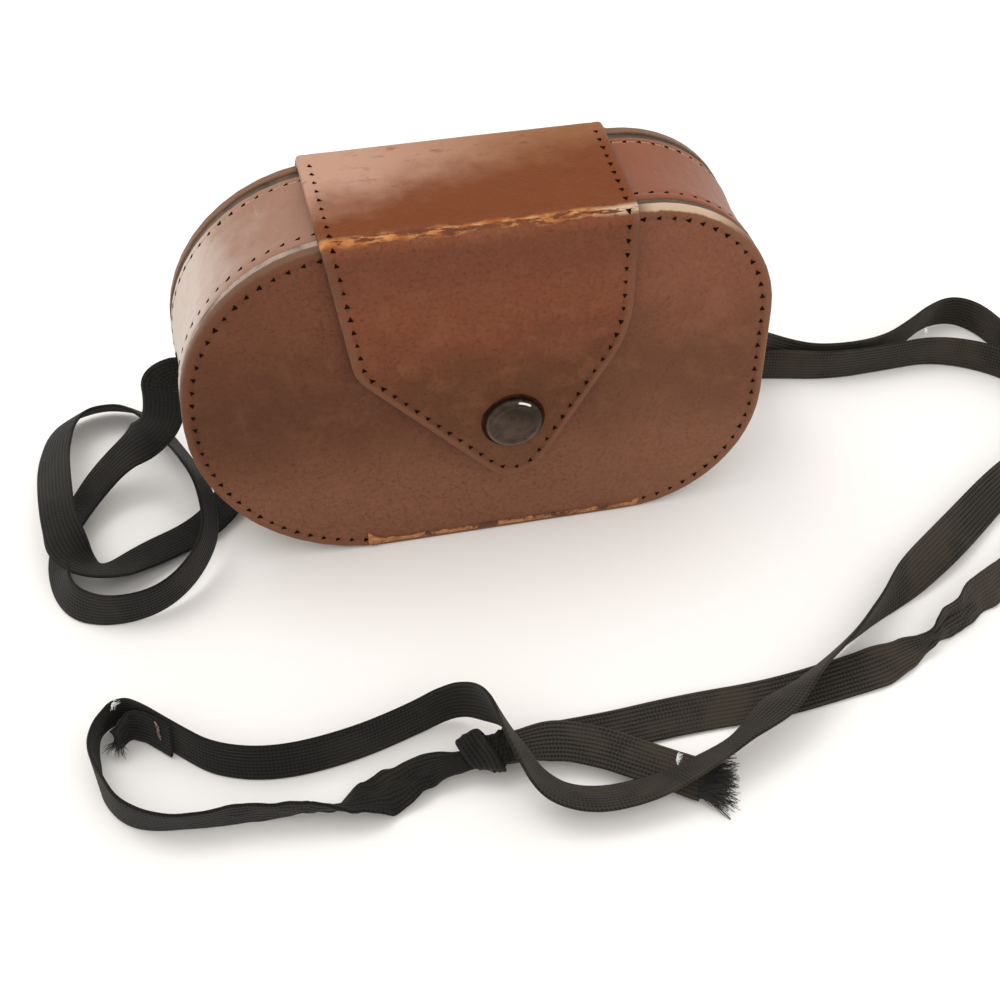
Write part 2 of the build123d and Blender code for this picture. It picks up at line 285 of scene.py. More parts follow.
def thicken(piece: bpy.types.Object, wall_mm: float, inside_out: bool) -> None:
    """Give a sheet its wall, grown away from its faces' front.

    Args:
        piece: the sheet, with faces that all look one way.
        wall_mm: the wall's thickness.
        inside_out: True when the faces look inward and have to be turned first.
    """
    if inside_out:
        enter_edit(piece)
        bpy.ops.mesh.select_all(action="SELECT")
        bpy.ops.mesh.flip_normals()
        leave_edit()
    wall = piece.modifiers.new("wall", "SOLIDIFY")
    wall.thickness, wall.offset = wall_mm * MM, -1.0
    bpy.context.view_layer.objects.active = piece
    bpy.ops.object.modifier_apply(modifier="wall")


def scatter_copies(name: str, model: bpy.types.Object, places: Sequence[Matrix]) -> bpy.types.Object:
    """Copy one modelled piece to many places, as one mesh, and remove the model.

    Args:
        name: the new piece's name.
        model: the piece modelled once, in mm.
        places: one matrix for each copy, in mm.

    Returns:
        One object at the origin, in metres.
    """
    whole = bmesh.new()
    for place in places:
        one = model.data.copy()
        one.transform(Matrix.Scale(MM, 4) @ place)
        whole.from_mesh(one)
        bpy.data.meshes.remove(one)
    mesh = bpy.data.meshes.new(name)
    whole.to_mesh(mesh)
    whole.free()
    bpy.data.objects.remove(model)
    piece = bpy.data.objects.new(name, mesh)
    bpy.context.scene.collection.objects.link(piece)
    return piece


def frame_matrix(origin: Vector, along: Vector, up: Vector) -> Matrix:
    """A placing matrix with x along a direction and z up a normal.

    Args:
        origin: where it stands.
        along: where its x points.
        up: the normal its z keeps close to.

    Returns:
        The matrix.
    """
    x = along.normalized()
    z = (up - x * up.dot(x)).normalized()
    y = z.cross(x)
    return Matrix.Translation(origin) @ Matrix((x, y, z)).transposed().to_4x4()


# ---------------------------------------------------------------- finishes

def linear(hex_colour: str) -> tuple[float, float, float, float]:
    """An sRGB hex value as linear RGBA."""
    raw = [int(hex_colour[i:i + 2], 16) / 255 for i in (1, 3, 5)]
    return (*[c / 12.92 if c <= 0.04045 else ((c + 0.055) / 1.055) ** 2.4 for c in raw], 1.0)


def add_node(tree: bpy.types.NodeTree, kind: str, settings: Optional[dict] = None,
             links: Optional[dict] = None) -> bpy.types.Node:
    """Add a node.

    Args:
        tree: the material's node tree.
        kind: the node's type.
        settings: attributes or socket values, by name or socket number.
        links: the sockets that feed its inputs, by name or socket number.

    Returns:
        The new node.
    """
    node = tree.nodes.new(kind)
    for key, value in (settings or {}).items():
        if isinstance(key, str) and hasattr(node, key):
            setattr(node, key, value)
        else:
            node.inputs[key].default_value = value
    for key, source in (links or {}).items():
        tree.links.new(source, node.inputs[key])
    return node


class Space(Enum):
    """What a pattern follows."""

    OBJECT = "Object"
    FLAT = "UV"


class Step(Enum):
    """A step of a finish: the node's kind, its fixed settings, the inputs its values feed, its output."""

    NOISE = ("ShaderNodeTexNoise", {}, ("Vector", "Scale", "Detail", "Roughness"), "Fac")
    CELLS = ("ShaderNodeTexVoronoi", {"feature": "F1"}, ("Vector", "Scale"), "Distance")
    STRETCH = ("ShaderNodeMapping", {}, ("Vector", "Scale"), 0)
    X = ("ShaderNodeSeparateXYZ", {}, (0,), "X")
    Y = ("ShaderNodeSeparateXYZ", {}, (0,), "Y")
    Z = ("ShaderNodeSeparateXYZ", {}, (0,), "Z")
    RIM = ("ShaderNodeAttribute", {"attribute_name": "rim"}, (), "Fac")
    RANGE = ("ShaderNodeMapRange", {"interpolation_type": "SMOOTHSTEP"}, ("Value", "From Min", "From Max"), 0)
    MIX = ("ShaderNodeMix", {"data_type": "RGBA"}, (0, 6, 7), 2)
    PLUS = ("ShaderNodeMath", {"operation": "ADD"}, (0, 1), 0)
    MINUS = ("ShaderNodeMath", {"operation": "SUBTRACT"}, (0, 1), 0)
    TIMES = ("ShaderNodeMath", {"operation": "MULTIPLY"}, (0, 1), 0)
    OVER = ("ShaderNodeMath", {"operation": "DIVIDE"}, (0, 1), 0)
    LEAST = ("ShaderNodeMath", {"operation": "MINIMUM"}, (0, 1), 0)
    FOLD = ("ShaderNodeMath", {"operation": "PINGPONG"}, (0, 1), 0)
    SIZE = ("ShaderNodeMath", {"operation": "ABSOLUTE"}, (0,), 0)
    ROOT = ("ShaderNodeMath", {"operation": "SQRT"}, (0,), 0)
    SINE = ("ShaderNodeMath", {"operation": "SINE"}, (0,), 0)


Socket = bpy.types.NodeSocket
Value = Union[Socket, str, float, Sequence[float]]


class Surface:
    """A material under construction, with its pattern coordinates in millimetres."""

    def __init__(self, name: str, space: Space = Space.OBJECT) -> None:
        """Start a material.

        Args:
            name: the material's name.
            space: what its patterns follow.
        """
        self.material = bpy.data.materials.new(name)
        self.material.use_nodes = True
        self.tree = self.material.node_tree
        self.shader = self.tree.nodes["Principled BSDF"]
        coordinates = add_node(self.tree, "ShaderNodeTexCoord")
        scale = (1000, 1000, 1000) if space is Space.OBJECT else (1, 1, 1)
        self.mm = add_node(self.tree, "ShaderNodeMapping", {"Scale": scale},
                           {"Vector": coordinates.outputs[space.value]}).outputs[0]

    def add(self, step: Step, *values: Value) -> Socket:
        """Add one step; sockets among its values are linked, and hex colours turned linear.

        Args:
            step: what kind of step it is.
            values: what feeds its inputs, in the step's order.

        Returns:
            The step's output.
        """
        kind, fixed, inputs, output = step.value
        settings, links = dict(fixed), {}
        for key, value in zip(inputs, values):
            if isinstance(value, Socket):
                links[key] = value
            else:
                settings[key] = linear(value) if isinstance(value, str) else value
        return add_node(self.tree, kind, settings, links).outputs[output]

    def share(self, whole: Value, part: Value, weight: float) -> Socket:
        """A value with a weighted share of another added."""
        return self.add(Step.PLUS, whole, self.add(Step.TIMES, part, weight))

    def under(self, value: Socket, low: float, high: float) -> Socket:
        """1 below low, 0 above high, smooth between."""
        return self.add(Step.MINUS, 1.0, self.add(Step.RANGE, value, low, high))

    def sway(self, size_mm: float, detail: float, rough: float, reach: float) -> Socket:
        """Noise of a size in mm that swings evenly round zero."""
        noisy = self.add(Step.NOISE, self.mm, 1 / size_mm, detail, rough)
        return self.add(Step.TIMES, self.add(Step.MINUS, noisy, 0.5), reach)

    def tint(self, colour: Value, over: Value, where: Socket, amount: float = 1.0) -> Socket:
        """Lay a colour over another where a mask says, as strongly as amount."""
        strength = where if amount == 1.0 else self.add(Step.TIMES, where, amount)
        return self.add(Step.MIX, strength, colour, over)

    def fleck(self, colour: Value, over: Value, amount: float, size_mm: float, detail: float, rough: float,
              low: float, high: float, stretch: Optional[Sequence[float]] = None) -> Socket:
        """Lay a colour over another in ragged spots.

        Args:
            colour: what lies below.
            over: the spots' colour.
            amount: how strong a spot is.
            size_mm: the spots' real size.
            detail: how many finer noises break their outline.
            rough: how strong the finer noises are.
            low: the noise level at which a spot begins.
            high: the noise level at which it is full.
            stretch: a scale for each axis, below 1 for spots drawn out along it.

        Returns:
            The new colour.
        """
        at = self.add(Step.STRETCH, self.mm, stretch) if stretch else self.mm
        noisy = self.add(Step.NOISE, at, 1 / size_mm, detail, rough)
        return self.tint(colour, over, self.add(Step.RANGE, noisy, low, high), amount)

    def dress(self, colour: Value, rough: Value, height: Optional[Socket] = None, depth_mm: float = 0.1,
              **sockets: float) -> bpy.types.Material:
        """Feed the shader and return the material.

        Args:
            colour: socket or hex value.
            rough: socket or number.
            height: bump height from 0 to 1.
            depth_mm: what a height of 1 stands for.
            sockets: plain values for the shader's other sockets, with _ for a space.

        Returns:
            The finished material.
        """
        for key, value in (("Base Color", colour), ("Roughness", rough)):
            if isinstance(value, Socket):
                self.tree.links.new(value, self.shader.inputs[key])
            else:
                self.shader.inputs[key].default_value = linear(value) if isinstance(value, str) else value
        for key, value in sockets.items():
            self.shader.inputs[key.replace("_", " ")].default_value = value
        if height is not None:
            bump = add_node(self.tree, "ShaderNodeBump", {"Distance": depth_mm * MM, "Strength": 1.0},
                            {"Height": height})
            self.tree.links.new(bump.outputs[0], self.shader.inputs["Normal"])
        return self.material


@dataclass(frozen=True)
class CowhideFinish:
    """Vegetable-tanned cowhide, glazed smooth and worn: fine pores, a dark band across its middle that is a
    painted reflection, a pale rim.
    """

    name: str
    upper: str = "#77442D"
    band: str = "#5C331D"
    lower: str = "#774B35"
    rim: str = "#70462F"
    space: Space = Space.OBJECT
    rough: float = 0.50
    gloss: float = 0.20

    def material(self, level: Optional[Callable[[Surface], Socket]] = None,
                 extra: Optional[Callable[[Surface, Socket], Socket]] = None) -> bpy.types.Material:
        """Build the hide.

        Args:
            level: gives the height in mm up the case at a point; the object's z without it.
            extra: adds marks to the colour.

        Returns:
            The material.
        """
        s = Surface(self.name, self.space)
        z = level(s) if level else s.add(Step.Z, s.mm)
        z = s.add(Step.PLUS, z, s.sway(14.0, 4.0, 0.6, 26.0))
        # Painted reflection: by height the hide is darker in a band across its middle and paler below and
        # above it.
        colour = s.tint(self.lower, self.band, s.add(Step.RANGE, z, 14.0, 34.0))
        colour = s.tint(colour, self.upper, s.add(Step.RANGE, z, 38.0, 60.0))
        for spots in ((self.rim, 0.30, 5.0, 5.0, 0.65, 0.45, 0.75),  # burnished clouds
                      (self.band, 0.45, 1.0, 4.0, 0.70, 0.35, 0.70),  # grain
                      ("#351B10", 0.50, 0.9, 5.0, 0.85, 0.52, 0.62),  # dark speckle
                      ("#82553B", 0.28, 7.0, 6.0, 0.75, 0.48, 0.66),  # dry patches
                      ("#2E1810", 0.50, 0.55, 4.0, 0.70, 0.62, 0.74),  # pores
                      ("#96694C", 0.22, 1.6, 6.0, 0.75, 0.66, 0.80)):  # scuffs
            colour = s.fleck(colour, *spots)
        edge = s.add(Step.RIM)
        ragged = s.add(Step.PLUS, edge, s.sway(1.3, 3.0, 0.55, 0.9))
        colour = s.tint(colour, self.rim, s.under(ragged, 0.8, 1.7))
        colour = s.tint(colour, "#755440", s.under(ragged, 0.05, 0.45))
        groove = s.add(Step.MINUS, s.add(Step.RANGE, edge, 1.75, 2.05), s.add(Step.RANGE, edge, 2.15, 2.60))
        colour = s.tint(colour, "#3A2319", groove, 0.12)
        if extra:
            colour = extra(s, colour)
        pebbles = s.add(Step.TIMES, s.add(Step.NOISE, s.mm, 1 / 0.6, 4.0, 0.6), 0.85)
        height = s.share(pebbles, s.add(Step.CELLS, s.mm, 1 / 0.9), 0.35)
        height = s.share(height, s.add(Step.NOISE, s.mm, 1 / 6.0, 3.0, 0.55), 2.2)
        uneven = s.add(Step.TIMES, s.add(Step.NOISE, s.mm, 1 / 3.0, 4.0, 0.55), 0.22)
        rough = s.add(Step.PLUS, uneven, self.rough - 0.11)
        return s.dress(colour, rough, height, 0.15, Coat_Weight=0.03, Coat_Roughness=0.35,
                       Specular_IOR_Level=self.gloss)


@dataclass(frozen=True)
class CutEdgeFinish:
    """The cut edge of pasted leather board: dense fibres, waxed smooth, paler than the grain side."""

    name: str
    colour: str
    shade: str
    right: str = "#493526"
    fibre: str = "#B39C86"

    def material(self) -> bpy.types.Material:
        """Build the edge, with fine layers along it.

        Returns:
            The material.
        """
        s = Surface(self.name)
        layers = s.add(Step.NOISE, s.add(Step.STRETCH, s.mm, (0.25, 3.0, 0.25)), 1 / 0.5, 4.0, 0.6)
        colour = s.fleck(self.colour, self.shade, 1.0, 7.0, 4.0, 0.6, 0.35, 0.65)
        # Across x the edge turns to the right colour; on the front board its paler left is a painted sheen.
        colour = s.tint(colour, self.right, s.add(Step.RANGE, s.add(Step.X, s.mm), -20.0, 30.0))
        colour = s.tint(colour, self.fibre, s.add(Step.RANGE, layers, 0.50, 0.72), 0.25)
        colour = s.fleck(colour, "#3B2A20", 0.45, 0.8, 5.0, 0.7, 0.58, 0.72)
        return s.dress(colour, 0.55, layers, 0.08)


@dataclass(frozen=True)
class GussetFinish:
    """Thin glazed calf on the narrow band: one colour low down, another toward the mouth."""

    name: str
    above: str
    below: str
    low: float
    high: float

    def material(self) -> bpy.types.Material:
        """Build the calf with its fine scratches.

        Returns:
            The material.
        """
        s = Surface(self.name)
        z = s.share(s.add(Step.Z, s.mm), s.add(Step.NOISE, s.mm, 1 / 9.0, 4.0, 0.6), 12.0)
        colour = s.tint(self.below, self.above, s.add(Step.RANGE, z, self.low, self.high))
        colour = s.fleck(colour, "#7A5443", 0.25, 2.2, 5.0, 0.7, 0.50, 0.72)
        colour = s.fleck(colour, "#B79A88", 0.30, 0.5, 2.0, 0.5, 0.68, 0.78, (1.0, 0.12, 1.0))
        colour = s.fleck(colour, "#5E4334", 0.35, 0.7, 5.0, 0.7, 0.62, 0.74)
        fine = s.add(Step.NOISE, s.mm, 1 / 0.7, 4.0, 0.6)
        height = s.share(fine, s.add(Step.NOISE, s.mm, 1 / 5.0, 3.0, 0.55), 1.6)
        return s.dress(colour, 0.45, height, 0.08, Coat_Weight=0.05, Coat_Roughness=0.3,
                       Specular_IOR_Level=0.25)


@dataclass(frozen=True)
class SuedeFinish:
    """Brushed flesh-side lining: matt, short nap, a little sheen."""

    name: str
    colour: str = "#8A6B50"
    shade: str = "#6B4E38"

    def material(self) -> bpy.types.Material:
        """Build the nap.

        Returns:
            The material.
        """
        s = Surface(self.name)
        nap = s.add(Step.NOISE, s.mm, 1 / 0.5, 5.0, 0.7)
        colour = s.fleck(self.colour, self.shade, 1.0, 6.0, 4.0, 0.55, 0.35, 0.65)
        colour = s.tint(colour, "#A98A6A", nap, 0.3)
        return s.dress(colour, 0.9, nap, 0.12, Sheen_Weight=0.25)


@dataclass(frozen=True)
class ShadowFinish:
    """A dark matt colour with no gloss, painted where only shade falls: painted shadow in the awl holes, the
    strap slits and round the stud's cap.
    """

    name: str
    colour: str
    shade: str

    def material(self) -> bpy.types.Material:
        """Build the painted shadow.

        Returns:
            The material.
        """
        s = Surface(self.name)
        fibres = s.add(Step.NOISE, s.mm, 1 / 0.6, 3.0, 0.55)
        colour = s.tint(self.colour, self.shade, s.add(Step.RANGE, fibres, 0.35, 0.65))
        return s.dress(colour, 0.95, fibres, 0.02, Specular_IOR_Level=0.05)


@dataclass(frozen=True)
class RawFoldFinish:
    """Raw tan leather where the fold has worn through its glazed face: fibrous and jagged."""

    name: str = "raw_tan_fold"

    def material(self) -> bpy.types.Material:
        """Build the worn fold; the glaze is left in ragged islands.

        Returns:
            The material.
        """
        s = Surface(self.name)
        fibres = s.add(Step.NOISE, s.add(Step.STRETCH, s.mm, (0.45, 1.0, 1.0)), 1 / 0.9, 6.0, 0.75)
        colour = s.tint("#94592D", "#B98350", s.add(Step.RANGE, fibres, 0.35, 0.62))
        colour = s.fleck(colour, "#573420", 1.0, 4.5, 5.0, 0.7, 0.50, 0.58)
        colour = s.fleck(colour, "#4A2B1C", 0.6, 0.6, 5.0, 0.7, 0.58, 0.70)
        return s.dress(colour, 0.8, fibres, 0.25)


@dataclass(frozen=True)
class ThreadFinish:
    """Waxed linen thread, twisted: small slanting strands."""

    name: str
    colour: str
    shade: str

    def material(self) -> bpy.types.Material:
        """Build the twist.

        Returns:
            The material.
        """
        s = Surface(self.name)
        twist = s.add(Step.NOISE, s.mm, 1 / 0.28, 2.0, 0.5)
        colour = s.tint(self.colour, self.shade, s.add(Step.RANGE, twist, 0.35, 0.65))
        return s.dress(colour, 0.75, twist, 0.05)


@dataclass(frozen=True)
class WovenTapeFinish:
    """Black braided cotton tape: lengthwise columns, slanting picks across them, faded and dusty in parts."""

    name: str = "black_braided_tape"
    faded_from: float = 300.0
    faded_to: float = 640.0
    fade_length: float = 60.0
    column_mm: float = 0.85
    pick_mm: float = 0.72

    def material(self) -> bpy.types.Material:
        """Build the braid from the tape's own mm coordinates.

        Returns:
            The material.
        """
        s = Surface(self.name, Space.FLAT)
        across, along = s.add(Step.X, s.mm), s.add(Step.Y, s.mm)
        column = s.add(Step.SIZE, s.add(Step.SINE, s.add(Step.TIMES, across, math.pi / self.column_mm)))
        slant = s.share(along, s.add(Step.FOLD, across, self.column_mm), 0.40)
        phase = s.add(Step.TIMES, slant, 2 * math.pi / self.pick_mm)
        pick = s.add(Step.TIMES, s.add(Step.PLUS, s.add(Step.SINE, phase), 1.0), 0.5)
        patch = s.add(Step.RANGE, s.add(Step.NOISE, s.mm, 1 / 11.0, 2.0, 0.55), 0.42, 0.58)
        ribs = s.add(Step.TIMES, column, s.share(0.60, patch, 0.25))
        picks = s.add(Step.TIMES, pick, s.add(Step.MINUS, 0.42, s.add(Step.TIMES, patch, 0.20)))
        braid = s.add(Step.PLUS, ribs, picks)
        height = s.share(braid, s.add(Step.NOISE, s.mm, 1 / 0.35, 4.0, 0.7), 0.35)
        faded = s.add(Step.TIMES,
                      s.add(Step.RANGE, along, self.faded_from, self.faded_from + self.fade_length),
                      s.under(along, self.faded_to, self.faded_to + self.fade_length))
        # Painted highlight and shade: the tape is paler on its raised braid and darker in the gaps between.
        light = s.add(Step.RANGE, braid, 0.20, 1.0)
        colour = s.tint(s.tint("#090807", "#1E1D1A", light), s.tint("#15130F", "#37332C", light), faded)
        clouds = s.add(Step.RANGE, s.add(Step.NOISE, s.mm, 1 / 22.0, 3.0, 0.55), 0.46, 0.60)
        colour = s.tint(colour, "#40382E", s.add(Step.TIMES, clouds, s.share(0.15, faded, 0.35)))
        colour = s.fleck(colour, "#5C564C", 0.35, 0.9, 5.0, 0.75, 0.66, 0.74)
        return s.dress(colour, 0.88, height, 0.15, Sheen_Weight=0.05, Specular_IOR_Level=0.22)


@dataclass(frozen=True)
class AgedNickelFinish:
    """Nickel-plated press stud gone gunmetal brown, with painted shade on its upper part, a painted
    reflection brightening its rim below and a painted highlight at one spot on its upper rim.
    """

    name: str
    tarnish: str = "#44372F"
    bright: str = "#8F857A"
    centre: Point2 = (5.2, 31.7)
    radius: float = 5.75

    def material(self) -> bpy.types.Material:
        """Build the plating; wear gathers toward the rim.

        Returns:
            The material.
        """
        s = Surface(self.name)
        across = s.add(Step.MINUS, s.add(Step.X, s.mm), self.centre[0])
        up = s.add(Step.MINUS, s.add(Step.Z, s.mm), self.centre[1])
        squares = s.add(Step.PLUS, s.add(Step.TIMES, across, across), s.add(Step.TIMES, up, up))
        radius = s.add(Step.ROOT, squares)
        near_rim = s.add(Step.RANGE, radius, self.radius * 0.66, self.radius)
        pitted = s.share(s.add(Step.NOISE, s.mm, 1 / 0.7, 6.0, 0.75), near_rim, 0.07)
        worn = s.add(Step.RANGE, pitted, 0.60, 0.78)
        colour = s.fleck(self.tarnish, "#53463D", 1.0, 1.6, 5.0, 0.7, 0.35, 0.65)
        colour = s.tint(colour, self.bright, worn, 0.45)
        # Painted shade: the cap darkens toward its upper right.
        high = s.add(Step.RANGE, s.share(up, across, 0.45), -0.5, 3.5)
        colour = s.tint(colour, "#1E1613", high, 0.50)
        # Painted reflection: the rim is brighter along its lower half.
        low = s.add(Step.TIMES, s.add(Step.RANGE, radius, self.radius * 0.84, self.radius * 0.93),
                    s.add(Step.RANGE, s.add(Step.MINUS, 0.0, up), -1.0, 4.0))
        colour = s.tint(colour, self.bright, low, 0.45)
        # Painted highlight: a small bright arc on the cap's upper right rim.
        upper_right = s.add(Step.OVER, s.add(Step.PLUS, s.add(Step.TIMES, across, 0.40),
                                             s.add(Step.TIMES, up, 0.92)), radius)
        arc = s.add(Step.MINUS, s.add(Step.RANGE, radius, self.radius * 0.86, self.radius * 0.89),
                    s.add(Step.RANGE, radius, self.radius * 0.92, self.radius * 0.95))
        painted_glint = s.add(Step.TIMES, arc, s.add(Step.RANGE, upper_right, 0.960, 0.985))
        colour = s.tint(colour, "#F4F0EA", painted_glint)
        rough = s.add(Step.MINUS, 0.36, s.add(Step.TIMES, worn, 0.12))
        return s.dress(colour, rough, s.add(Step.NOISE, s.mm, 1 / 0.8, 5.0, 0.7), 0.03, Metallic=0.85)


@dataclass(frozen=True)
class BrassFinish:
    """Dull stamped brass of the stud's hidden parts."""

    name: str = "dull_brass"

    def material(self) -> bpy.types.Material:
        """Build the brass with brown stains.

        Returns:
            The material.
        """
        s = Surface(self.name)
        colour = s.fleck("#B08D4C", "#6D5230", 1.0, 1.5, 4.0, 0.55, 0.4, 0.7)
        return s.dress(colour, 0.42, s.add(Step.NOISE, s.mm, 1 / 0.4, 3.0, 0.55), 0.02, Metallic=1.0)


@dataclass(frozen=True)
class PlainFibreFinish:
    """Loose fibres: a soft matt colour with a slight change along them."""

    name: str
    colour: str
    shade: str

    def material(self) -> bpy.types.Material:
        """Build the fibres.

        Returns:
            The material.
        """
        s = Surface(self.name)
        colour = s.tint(self.colour, self.shade, s.add(Step.NOISE, s.mm, 1 / 1.5, 2.0, 0.55))
        return s.dress(colour, 0.9, s.add(Step.NOISE, s.mm, 1 / 0.2, 2.0, 0.55), 0.02, Sheen_Weight=0.2)


# ---------------------------------------------------------------- studio

@dataclass
class Studio:
    """Camera at the photograph's place, a pale table and soft light."""

    camera_place: tuple[float, float, float] = (-0.04865, -0.25412, 0.23306)
    yaw: float = 12.24
    pitch: float = 42.64
    roll: float = -0.16
    lens_mm: float = 57.56
    world_strength: float = 1.06

    def build(self) -> None:
        """Set up the camera, light and table."""
        self.camera()
        self.light()
        self.table()
        bpy.context.scene.view_settings.view_transform = "Standard"

    def camera(self) -> None:
        """Place the camera."""
        yaw, pitch, roll = (math.radians(a) for a in (self.yaw, self.pitch, self.roll))
        forward = Vector((math.sin(yaw) * math.cos(pitch), math.cos(yaw) * math.cos(pitch), -math.sin(pitch)))
        side = Vector((math.cos(yaw), -math.sin(yaw), 0))
        up = side.cross(forward)
        right = side * math.cos(roll) + up * math.sin(roll)
        above = up * math.cos(roll) - side * math.sin(roll)
        data = bpy.data.cameras.new("camera")
        data.lens, data.sensor_width, data.clip_start = self.lens_mm, 36.0, 0.01
        camera = bpy.data.objects.new("camera", data)
        turned = Matrix((right, above, -forward)).transposed().to_4x4()
        camera.matrix_world = Matrix.Translation(self.camera_place) @ turned
        bpy.context.scene.collection.objects.link(camera)
        bpy.context.scene.camera = camera

    def light(self) -> None:
        """A white surround with two large soft lamps."""
        world = bpy.data.worlds.new("surround")
        bpy.context.scene.world = world
        world.use_nodes = True
        tree = world.node_tree
        tree.nodes.clear()
        path = add_node(tree, "ShaderNodeLightPath")
        seen = add_node(tree, "ShaderNodeMath", {"operation": "MAXIMUM"},
                        {0: path.outputs["Is Camera Ray"], 1: path.outputs["Is Glossy Ray"]})
        dim = add_node(tree, "ShaderNodeBackground", {"Color": linear("#FFFDFA"),
                                                      "Strength": self.world_strength})
        white = add_node(tree, "ShaderNodeBackground", {"Color": linear("#FBFAF7"), "Strength": 0.95})
        both = add_node(tree, "ShaderNodeMixShader", links={0: seen.outputs[0], 1: dim.outputs[0],
                                                           2: white.outputs[0]})
        add_node(tree, "ShaderNodeOutputWorld", links={0: both.outputs[0]})
        for name, place, size, power in (("window", (-0.40, 0.22, 1.15), 0.6, 3.3),
                                         ("fill", (0.25, -0.85, 0.95), 0.9, 2.4)):
            data = bpy.data.lights.new(name, "AREA")
            data.size, data.energy, data.color = size, power, (1.0, 0.985, 0.965)
            lamp = bpy.data.objects.new(name, data)
            lamp.location = place
            lamp.rotation_euler = (Vector((0.02, -0.02, 0.03)) - Vector(place)).to_track_quat(
                "-Z", "Y").to_euler()
            bpy.context.scene.collection.objects.link(lamp)

    def table(self) -> None:
        """A plain pale table top."""
        deselect_all()
        bpy.ops.mesh.primitive_plane_add(size=6.0, location=(0, 0, 0))
        table = named(bpy.context.object, "table_top")
        s = Surface("pale_table")
        colour = s.fleck("#F6F4F1", "#F8F6F4", 1.0, 90.0, 2.0, 0.55, 0.3, 0.7)
        table.data.materials.append(s.dress(colour, 0.8, None, Specular_IOR_Level=0.1))


# ---------------------------------------------------------------- neck strap

Stop = tuple[float, float, float, Optional[float]]
# Half of the tape's cross-section: shares of half its width and of half its thickness.
TAPE_PROFILE = ((-1.0, 0.0), (-0.96, 0.75), (-0.84, 1.0), (-0.56, 1.0), (-0.28, 1.0), (0.0, 1.0), (0.28, 1.0),
                (0.56, 1.0), (0.84, 1.0), (0.96, 0.75), (1.0, 0.0))
TABLE_GAP = 0.00003  # what a length of tape is lifted clear of the table, in metres
LOWEST = 0.00002  # the height no point of a tape goes below, in metres


